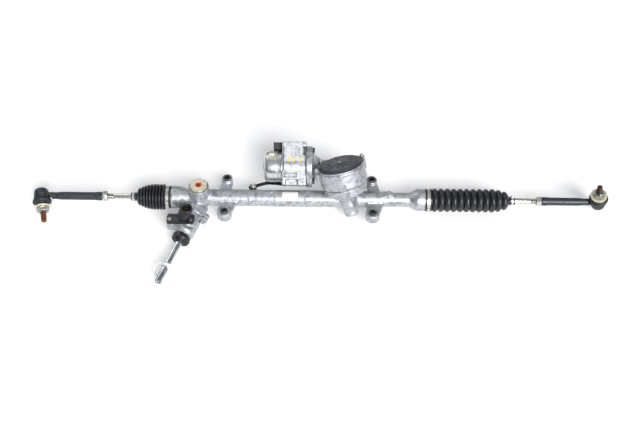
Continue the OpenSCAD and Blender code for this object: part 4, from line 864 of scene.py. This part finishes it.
def set_camera():
    """Camera axes from the elevation and the tip; the aim lies below the rack by the photograph's offset."""
    up = np.array([0, math.sin(ELEVATION), math.cos(ELEVATION)])
    right = np.array([1.0, 0, 0])
    back = np.array([0, -math.cos(ELEVATION), math.sin(ELEVATION)])
    c, s = math.cos(TIP), math.sin(TIP)
    aim = RACK_MIDDLE + right * AIM_BELOW * s - up * AIM_BELOW * c
    eye = (aim + back * DISTANCE) * MM
    axes = np.stack([c * right + s * up, c * up - s * right, back], 1)
    data = bpy.data.cameras.new("camera")
    data.sensor_width = SENSOR_WIDTH
    data.lens = DISTANCE / PIXEL / PHOTO_WIDTH * SENSOR_WIDTH
    data.clip_end = 50
    data.dof.use_dof = False
    camera = linked("camera", data)
    camera.matrix_world = Matrix([[*row, e] for row, e in zip(axes, eye)] + [[0, 0, 0, 1]])
    bpy.context.scene.camera = camera


# Floor and light

FLOOR_REACH, FLOOR_GAP, FLOOR_LIFT = 4, 0.0003, 0.24
SKY_STRENGTH, SKY_TOP_FROM = 0.42, 0.75
# Lamps as name, direction they shine from, strength and angle across in degrees
LAMPS = (("key", (0.5, -1.15, 0.85), 3.9, 34), ("rim", (-0.6, 0.7, 0.8), 0.45, 30))


def set_floor():
    """A wide level floor just under the object, white where the camera or a reflection sees it, keeping the shadow."""
    low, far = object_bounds()[0][2] - FLOOR_GAP, FLOOR_REACH
    shape = (np.array([[-far, -far, low], [far, -far, low], [far, far, low], [-far, far, low]]) / MM, [[0, 1, 2, 3]])
    material, tree = blank("white_studio_floor")
    rays = add_node(tree, "ShaderNodeLightPath").outputs
    seen = add_node(tree, "ShaderNodeMath", operation="MAXIMUM", in_0=rays["Is Camera Ray"], in_1=rays["Is Glossy Ray"])
    seen = add_node(tree, "ShaderNodeMath", operation="MAXIMUM", in_0=seen.outputs[0],
                    in_1=rays["Is Transmission Ray"])
    matt = add_node(tree, "ShaderNodeBsdfDiffuse", in_Color=linear("#ececec"))
    lift = add_node(tree, "ShaderNodeEmission", in_Color=linear("#ffffff"), in_Strength=FLOOR_LIFT)
    both = add_node(tree, "ShaderNodeAddShader", in_0=matt.outputs[0], in_1=lift.outputs[0])
    mixed = add_node(tree, "ShaderNodeMixShader", in_0=seen.outputs[0], in_1=matt.outputs[0], in_2=both.outputs[0])
    add_node(tree, "ShaderNodeOutputMaterial", in_Surface=mixed.outputs[0])
    floor = linked("floor", mesh_of("floor", shape))
    floor.data.materials.append(material)


def set_light():
    """A pale sky that is brighter overhead, a soft key from the lower right of the picture, and a weak rim light."""
    world = bpy.data.worlds.new("soft_sky")
    world.use_nodes = True
    tree = world.node_tree
    tree.nodes.clear()
    place = add_node(tree, "ShaderNodeTexCoord").outputs["Generated"]
    height = add_node(tree, "ShaderNodeSeparateXYZ", in_Vector=place).outputs["Z"]
    sky = add_node(tree, "ShaderNodeValToRGB", in_Fac=height)
    for k, (colour, position) in enumerate((("#8e939a", 0.0), ("#f4f7fb", SKY_TOP_FROM))):
        sky.color_ramp.elements[k].color = linear(colour)
        sky.color_ramp.elements[k].position = position
    light = add_node(tree, "ShaderNodeBackground", in_Color=sky.outputs["Color"], in_Strength=SKY_STRENGTH)
    add_node(tree, "ShaderNodeOutputWorld", in_Surface=light.outputs[0])
    bpy.context.scene.world = world
    for name, way, strength, across in LAMPS:
        data = bpy.data.lights.new(name, "SUN")
        data.energy = strength
        data.angle = math.radians(across)
        linked(name, data).rotation_euler = Vector(way).to_track_quat("Z", "Y").to_euler()


set_camera()
set_light()
set_floor()
bpy.context.scene.view_settings.view_transform = "Standard"
